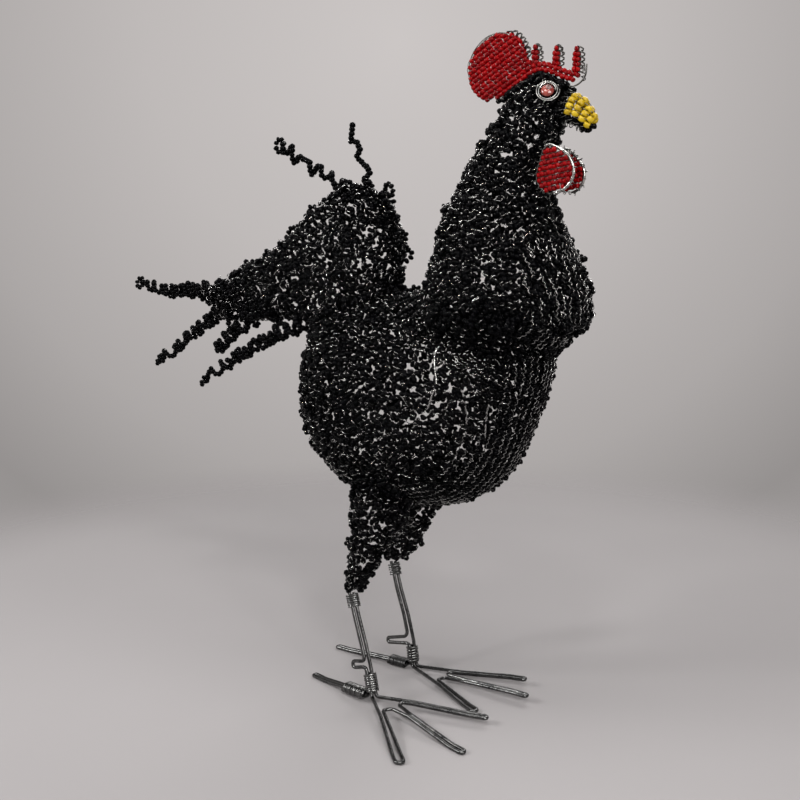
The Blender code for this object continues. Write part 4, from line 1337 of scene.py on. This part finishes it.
def threadEye(side, centre, facing):
    radius, thick = eye["bead"]
    x, y, wide, deep = eye["hole"]
    bpy.ops.mesh.primitive_uv_sphere_add(segments=28, ring_count=16, radius=radius * mm)
    bead = bpy.context.object
    bead.name = "eyeBead" + side
    for v in bead.data.vertices:  # flattened, with the mouth of its hole sunk in
        off = math.hypot(v.co.x - x * mm, v.co.y - y * mm) / mm
        v.co.z *= thick / radius
        if v.co.z > 0:
            v.co.z -= deep * mm * max(0, 1 - off / wide)
    bead.data.transform(Vector(facing).to_track_quat("Z", "X").to_matrix().to_4x4())
    bead.data.transform(Matrix.Translation(Vector(put(centre))))
    bpy.ops.object.shade_smooth()
    settle(bead, "coral_glass", "coral_glass", "eye_bead_" + side.lower())


def makeEyes():
    for side, hand in (("Right", -1), ("Left", 1)):
        mirror = np.array([1, hand, 1])
        centre, facing = np.array(eye["centre"]) * mirror, unit(np.array(eye["facing"]) * mirror)
        first = unit(np.cross((0, 0, 1.0), facing))
        second = np.cross(facing, first)
        turn = np.linspace(0, eye["turns"] * 2 * math.pi, 130)
        reach = np.linspace(eye["inner"], eye["outer"], 130) + 0.12 * np.sin(turn * 1.7)
        lift = 0.22 * np.sin(turn * 0.9) + np.linspace(0.2, -0.2, 130)
        path = spiral(centre, reach, turn, first, second) + lift[:, None] * facing
        coil = drawWire("eyeCoil" + side, put(path), eye["wire"], 2, 0.8)
        settle(coil, "bright_wire", "bright_wire", "eye_coil_" + side.lower())
        threadEye(side, centre, facing)
        reach = np.linspace(*eye["curl"], 36)
        turn = np.linspace(0.4, eye["curlTurns"] * 2 * math.pi, 36)
        curl = spiral(centre, reach, turn, first * hand, second)
        curl = curl - first * hand * 0.6 + second * 0.6 + facing * (1.9 - 0.12 * reach[:, None] ** 2)
        settle(drawWire("eyeCurl" + side, put(curl), eye["curlWire"], 1), "bright_wire", "bright_wire")
    print("eyes wound")


beak = dict(
    rings=[  # x, z and tilt; the first one is dark
        (117.0, 356.2, -10), (122.3, 355.0, -15), (126.1, 352.2, -21),
        (129.6, 349.2, -28), (132.4, 346.9, -33),
    ],
    rays=48, pitch=2.95, radius=1.95,
    tips=[  # dark beads under the point
        (133.6, -1.4, 344.9), (133.6, 1.6, 344.9), (131.6, 0, 342.9),
        (128.6, -2.2, 343.2), (128.6, 2.2, 343.2),
    ],
    curls=[  # loose turns of wire below: x, y, z, radius
        (127.5, -3.2, 343.6, 1.5), (124.5, 3.0, 344.6, 1.6), (123.2, -3.6, 345.8, 1.5),
        (130.4, 1.0, 343.8, 1.6), (120.6, -4.2, 346.6, 1.6),
    ],
)


def beakRing(middle, upright):
    # the line of bead middles, a bead's radius in from the beak's skin
    ring = []
    for turn in allRound(beak["rays"]):
        way = math.cos(turn) * upright + math.sin(turn) * np.array([0, 1.0, 0])
        spot = skins["beak"].ray_cast(Vector(middle), Vector(way))[0]
        ring.append(np.array(spot) - way * min(beak["radius"] * mm, (spot - Vector(middle)).length * 0.6))
    return np.array(ring)


def makeBeak():
    beads, wires, dark = Basket(), Basket(), Basket()
    rings = []
    for number, (x, z, tilt) in enumerate(beak["rings"]):
        middle, tilt = put((x, 0, z)), math.radians(tilt)
        upright = np.array([-math.sin(tilt), 0, math.cos(tilt)])
        ring = beakRing(middle, upright)
        loop = evenly(np.vstack([ring, ring[:1]]), 0.2 * mm)
        along = lengthsAlong(loop)
        count = max(4, round(along[-1] / (beak["pitch"] * mm)))
        spots = readAt((np.arange(count) + 0.5 * (number % 2)) * along[-1] / count, along, loop)
        ways = unit(np.roll(spots, -1, 0) - np.roll(spots, 1, 0)) + chance.normal(0, 0.06, spots.shape)
        below = (spots - middle) @ upright < -0.62 * np.ptp(spots @ upright) / 2
        below |= number == 0
        beads.beads(yellowBead, spots[~below], ways[~below], chance.normal(1.0, 0.02, (~below).sum()))
        dark.beads(blackBead, spots[below], ways[below], 1.05)
        rings.append((ring, middle))
        wires.wire(ring[::3], 0.3 * mm, 4, closed=True)
    for (near, mid), (far, end) in zip(rings, rings[1:]):  # wire between the rows
        for k in range(0, beak["rays"], 4):
            a, b = near[k], far[(k + 3) % beak["rays"]]
            out = unit((a + b) / 2 - (mid + end) / 2)
            wires.wire(bowBetween(a + out * 1.2 * mm, b + out * 1.2 * mm, out, 0.5 * mm, 5), 0.22 * mm, 3)
    tips = put(beak["tips"])
    dark.beads(blackBead, tips, chance.normal(size=tips.shape), 0.95)
    for *middle, radius in beak["curls"]:
        turn = np.linspace(0, 5.2, 11)[:, None] + chance.random() * 6
        first, second = unit(chance.normal((1, 0, 0), 0.3, 3)), unit(chance.normal((0, 0.3, 1), 0.2, 3))
        curl = (np.cos(turn) * first + np.sin(turn) * second) * radius * mm
        wires.wire(put(middle) + curl, 0.3 * mm, 4)
    beads.make("beakBeads", "yellow_beads", "yellow_beads", "beak")
    dark.make("beakDark", "black_beads", "black_beads")
    wires.make("beakWire", "comb_wire", "bright_wire")
    print("beak threaded")


wattle = dict(
    centre=(116.6, 8.6, 322.0), turn=15, slope=12, row=2.75, pitch=2.0, rim=0.82,
    thick=0.56,  # share of the rim that is thick wire; it ends below the chin
    right=[
        (-4.6, 12.8), (1.6, 11.3), (7, 7.4), (9.6, 1.4), (8.4, -4.6), (3.2, -9.4), (-3, -10.6),
        (-7.4, -7.6), (-9.2, -2.4), (-7.4, 5.6),
    ],
    left=[
        (-6, 10.6), (-0.4, 8.6), (5, 5.2), (8.4, 0.6), (8.2, -4.8), (4, -9.2), (-2.4, -10.4), (-7, -7.6),
        (-9, -2.4), (-8.4, 5),
    ],
)


def threadWattle(beads, wires, outline, place, ahead):
    tip = math.radians(wattle["slope"])
    way, up = np.array([math.cos(tip), math.sin(tip)]), np.array([-math.sin(tip), math.cos(tip)])
    for k in range(-5, 6):
        line = np.array([up * k * wattle["row"] - way * 16, up * k * wattle["row"] + way * 16])
        for run in beadRuns(outline, line, 0.75, wattle["pitch"]):
            stagger = 0.2 * np.where(np.arange(len(run)) % 2, 1, -1)
            spots = place(run + stagger[:, None] * up, stagger)
            axes = ahead * way[0] + np.array([0, 0, way[1]]) + chance.normal(0, 0.13, spots.shape)
            beads.beads(redBead, spots, axes, chance.normal(1.0, 0.03, len(run)))
            thread = evenly(run, 1.0)
            for off in (-0.95, 0.95):
                off = off + 0.15 * np.sin(np.arange(len(thread)) * 2.4)
                wires.wire(place(thread + up * 1.35, off), 0.17 * mm, 3)


def rimWattle(wires, side, outline, place):
    ahead = unit(np.roll(outline, -1, 0) - np.roll(outline, 1, 0))
    normal = np.stack([-ahead[:, 1], ahead[:, 0]], 1)
    normal *= np.sign((normal * (outline - outline.mean(0))).sum())
    rim = outline + normal * 0.75
    turned = round(len(rim) * wattle["thick"])
    wire = drawWire("wattleRim" + side.title(), place(rim[:turned], 0.0), wattle["rim"], 2, 0.6)
    settle(wire, "rim_wire", "bright_wire", "wattle_rim_" + side)
    wires.wire(place(np.vstack([rim[turned - 1:], rim[:1]]) * 0.97, 0.0), 0.3 * mm, 4)
    for k in range(0, len(outline), 4):  # lashings round the rim
        angle = np.linspace(-2.2, 2.2, 8) + chance.normal(0, 0.1)
        arm = rim[k] + np.outer(np.cos(angle), normal[k]) + np.outer(np.linspace(-0.4, 0.4, 8), ahead[k])
        wires.wire(place(arm, np.sin(angle) * 1.05), 0.27 * mm, 4)
        if k % 8 == 0:  # with a cut end that stands out
            spike = rim[k] + np.outer((0.9, 1.5, 2.1), normal[k])
            spike[-1] += ahead[k] * 0.5
            wires.wire(place(spike, 0.3), 0.24 * mm, 3)


def makeWattles():
    for side, hand in (("right", -1), ("left", 1)):
        turn = math.radians(wattle["turn"])
        ahead = np.array([math.cos(turn), -hand * math.sin(turn), 0])
        out = np.array([math.sin(turn), hand * math.cos(turn), 0])
        centre = np.array(wattle["centre"]) * (1, hand, 1)

        def place(flat, off):
            # places in the wattle's own plane, moved out from it
            spots = centre + np.outer(flat[:, 0], ahead) + np.outer(flat[:, 1], (0, 0, 1))
            return put(spots + np.outer(np.broadcast_to(off, len(flat)), out))

        outline = evenly(curveThrough(wattle[side], 6, closed=True), 0.8)
        beads, wires = Basket(), Basket()
        threadWattle(beads, wires, outline, place, ahead)
        beads.make("wattleBeads" + side.title(), "red_beads", "red_beads", "wattle_" + side)
        rimWattle(wires, side, outline, place)
        wires.make("wattleWire" + side.title(), "comb_wire", "bright_wire")
    print("wattles threaded")


legRoutes = {  # corners x, y, z and bend radius
    "leg_wire_right": [
        (-9.8, -27.1, 66.5, 20), (-4, -28.4, 51.5, 20), (2.5, -29.6, 36, 20), (8.1, -31, 21, 20),
        (13.1, -32.2, 6, 2.6), (36.5, -23, 6, 12), (69.5, -10.9, 4.5, 25), (78.9, -7.5, 4.5, 1.6),
        (80, -10.5, 4.5, 1.6), (70.6, -13.9, 4.5, 25), (37.4, -25.6, 6, 12), (29.9, -28.3, 6, 2.1),
        (31.4, -32.4, 6, 2.1), (45.5, -37.5, 6, 12), (80.7, -43.1, 1, 25), (90.6, -44.7, 1, 1.7),
        (90, -48.1, 1, 1.7), (80.1, -46.4, 1, 25), (45, -40.1, 6, 12), (31.3, -38.7, 6, 2.9),
        (27.7, -43.4, 6, 2.9), (34, -48.3, 6, 12), (64.3, -70.4, 1, 25), (72.2, -76.6, 1, 2.4),
        (69.3, -80.4, 1, 2.4), (61.4, -74.2, 1, 25), (32.3, -50.5, 6, 12), (11.3, -34.2, 6, 2.6),
        (4.8, -32.6, 23.2, 2.2), (-5.7, -32.6, 19.9, 2.2), (-5.7, -32.6, 24.2, 2.2),
        (4.2, -32.6, 26.8, 2.4), (0.5, -31.6, 36, 20), (-6, -30.2, 51.5, 20), (-11.8, -28.9, 66.5, 20),
    ],
    "back_toe_right": [
        (5.7, -30.5, 19.4, 1), (10.2, -31.5, 6, 2.6), (-14, -28.4, 3.7, 40), (-35.5, -25.6, 1, 25),
        (-45.4, -24.3, 1, 1.4), (-45.8, -27, 1, 1.4), (-35.9, -28.3, 1, 25), (-14.3, -31.1, 3.7, 40),
        (5.9, -33.7, 5.5, 1),
    ],
    "leg_wire_left": [
        (-21, 25.9, 70, 20), (-15.6, 25.3, 53, 20), (-9, 24.8, 36.5, 20), (-3.7, 24.2, 19.5, 20),
        (-0.9, 23.6, 3.1, 2.6), (27.9, 35.4, 3.1, 12), (57.4, 47, 5, 25), (66.7, 50.6, 5, 1.6),
        (67.9, 47.6, 5, 1.6), (58.5, 44, 5, 25), (28.8, 32.9, 3.1, 12), (21.4, 30, 3.1, 2.1),
        (22.9, 25.9, 3.1, 2.1), (36.9, 27.3, 3.1, 12), (71.5, 30.5, 5, 25), (81.5, 31.3, 5, 1.6),
        (81.7, 28.2, 5, 1.6), (71.8, 27.3, 5, 25), (37.2, 24.6, 3.1, 12), (24.2, 21.2, 3.1, 2.9),
        (22.2, 15.6, 3.1, 2.9), (29.8, 12.9, 3.1, 12), (56.4, 4.2, 1, 25), (65.8, 0.9, 1, 2),
        (64.5, -2.9, 1, 2), (55.1, 0.5, 1, 25), (28.9, 10.4, 3.1, 12), (-2.7, 21.6, 3.1, 2.6),
        (-5.7, 22.2, 18.0, 2.6), (-24.2, 22.2, 13.9, 1.6), (-24.2, 22.2, 17.1, 1.6), (-6.9, 22.2, 22.6, 4),
        (-11, 22.8, 36.5, 20), (-17.6, 23.5, 53, 20), (-23, 24.1, 70, 20),
    ],
    "back_toe_left": [
        (-6.1, 24.8, 16.5, 1), (-3.8, 24.3, 3.1, 2.6), (-21.2, 22.7, 3.1, 40), (-55.2, 19.6, 1, 25),
        (-65.2, 18.7, 1, 1.4), (-65, 16, 1, 1.4), (-55, 16.9, 1, 25), (-21, 20, 3.1, 40),
        (-7.3, 21.2, 3.1, 1),
    ],
}
legWire = dict(radius=1.15, ground=1.15, bendStep=12)

bindings = [  # name, start, end, way across, half sizes, turns, wire radius, finish, unevenness
    (
        "thigh_binding_right", (-7.51, -28.74, 58.0), (-10.22, -28.13, 65.2), (0.766, 0.643, 0),
        (2.9, 1.55), 6, 0.62, "binding_wire", 0.25,
    ),
    (
        "ankle_binding_right", (10.15, -32.11, 8.6), (7.0, -31.36, 18.9), (0.643, 0.766, 0),
        (2.75, 2.7), 8, 0.68, "binding_wire", 0.2,
    ),
    (
        "back_toe_binding_right", (5.08, -32.22, 5.53), (-14.16, -29.72, 3.7), (-0.129, -0.992, 0),
        (2.9, 1.6), 11, 0.85, "binding_wire", 0.3,
    ),
    (
        "thigh_binding_left", (-19.3, 24.7, 61.5), (-21.52, 24.95, 68.7), (0.766, 0.643, 0),
        (2.9, 1.55), 5, 0.6, "binding_wire", 0.4,
    ),
    (
        "ankle_binding_left", (-3.33, 23.55, 5.6), (-4.95, 23.9, 15.9), (0.643, 0.766, 0),
        (2.75, 2.7), 6, 0.6, "binding_wire", 0.8,
    ),
    (
        "back_toe_binding_left", (-8.45, 22.49, 3.3), (-21.1, 21.34, 3.3), (0.091, -0.996, 0),
        (2.9, 1.6), 9, 0.7, "dark_binding", 0.35,
    ),
]


def bentWire(corners, step):
    # wire bent at corners (x, y, z, bend radius): straight runs joined by arcs
    at = np.array([c[:3] for c in corners], float)
    path = [at[0]]
    for before, here, after, corner in zip(at, at[1:], at[2:], corners[1:]):
        back, ahead = before - here, after - here
        room = 0.499 * min(np.linalg.norm(back), np.linalg.norm(ahead))
        back, ahead = unit(back), unit(ahead)
        half = 0.5 * math.acos(np.clip(back @ ahead, -1, 1))
        if half > math.radians(86):
            path.append(here)
            continue
        run = min(corner[3] / math.tan(half), room)
        radius = run * math.tan(half)
        middle = here + unit(back + ahead) * radius / math.sin(half)
        first, last = here + back * run - middle, here + ahead * run - middle
        turn = math.pi - 2 * half
        count = max(1, math.ceil(math.degrees(turn) / step))
        for k in range(count + 1):
            share = k / count
            arm = math.sin((1 - share) * turn) * first + math.sin(share * turn) * last
            path.append(middle + arm / math.sin(turn))
    path.append(at[-1])
    return np.array(path)


def drawWire(name, path, radius, sides, fade=0.0):
    # a round wire drawn as a curve, then turned into a mesh; fade thins its two ends
    bpy.ops.curve.primitive_nurbs_path_add()
    wire = bpy.context.object
    wire.name = wire.data.name = name
    wire.data.splines.clear()
    line = wire.data.splines.new("POLY")
    line.points.add(len(path) - 1)
    line.points.foreach_set("co", np.column_stack([path, np.ones(len(path))]).ravel().astype(np.float32))
    if fade:
        line.points[0].radius = line.points[-1].radius = fade
    wire.data.dimensions = "3D"
    wire.data.bevel_depth = radius * mm
    wire.data.bevel_resolution = sides
    wire.data.use_fill_caps = True
    bpy.ops.object.select_all(action="DESELECT")
    wire.select_set(True)
    bpy.context.view_layer.objects.active = wire
    bpy.ops.object.convert(target="MESH")
    bpy.ops.object.transform_apply(location=True, rotation=True, scale=True)
    bpy.ops.object.shade_smooth_by_angle(angle=math.radians(60))
    bpy.ops.object.select_all(action="DESELECT")
    return bpy.context.object


windingSteps = 24  # points to one turn of a binding


def ovalWinding(start, end, across, half, turns, radius, uneven):
    # turns of wire round a bundle, each turn pressed against the last
    start, end, across = (np.array(v, float) for v in (start, end, across))
    line = unit(end - start)
    first = unit(across - (across @ line) * line)
    second = np.cross(line, first)
    count = turns * windingSteps
    steps = np.arange(count + 1)
    angle = steps / windingSteps * 2 * math.pi
    knots = np.arange(0, count + 13, 12)
    wobble = np.interp(steps, knots, chance.normal(0, 1, len(knots)))
    swell = 1 + 0.05 * wobble * uneven
    a, b = (
        (size + radius) * np.sign(swing) * np.abs(swing) ** 0.8 * swell
        for size, swing in zip(half, (np.cos(angle), np.sin(angle)))
    )
    along = steps / count * np.linalg.norm(end - start) + uneven * 0.45 * wobble * radius
    return start + np.outer(along, line) + np.outer(a, first) + np.outer(b, second)


def layWire(node, path, ground, radius, sides, fade, finish, slotName):
    # a wire of the legs, kept above the ground and named after its solid
    path[:, 2] = np.maximum(path[:, 2], ground)
    wire = drawWire(node.replace("_", " ").title().replace(" ", ""), put(path), radius, sides, fade)
    settle(wire, finish, slotName, node)


def makeLegs():
    for node, corners in legRoutes.items():
        path = bentWire(corners, legWire["bendStep"])
        path = np.array([p for i, p in enumerate(path) if i == 0 or np.linalg.norm(p - path[i - 1]) > 0.02])
        layWire(node, path, legWire["ground"], legWire["radius"], 3, 0.9, "heavy_wire", "heavy_wire")
    for node, start, end, across, half, turns, radius, finish, uneven in bindings:
        path = ovalWinding(start, end, across, half, turns, radius, uneven)
        layWire(node, path, radius, radius, 1, 0.8, finish, "binding_wire")
    print("legs bent and bound")


setStage()
layFloor()
weaveSkins()
makeStrands()
makeComb()
makeEyes()
makeBeak()
makeWattles()
makeLegs()
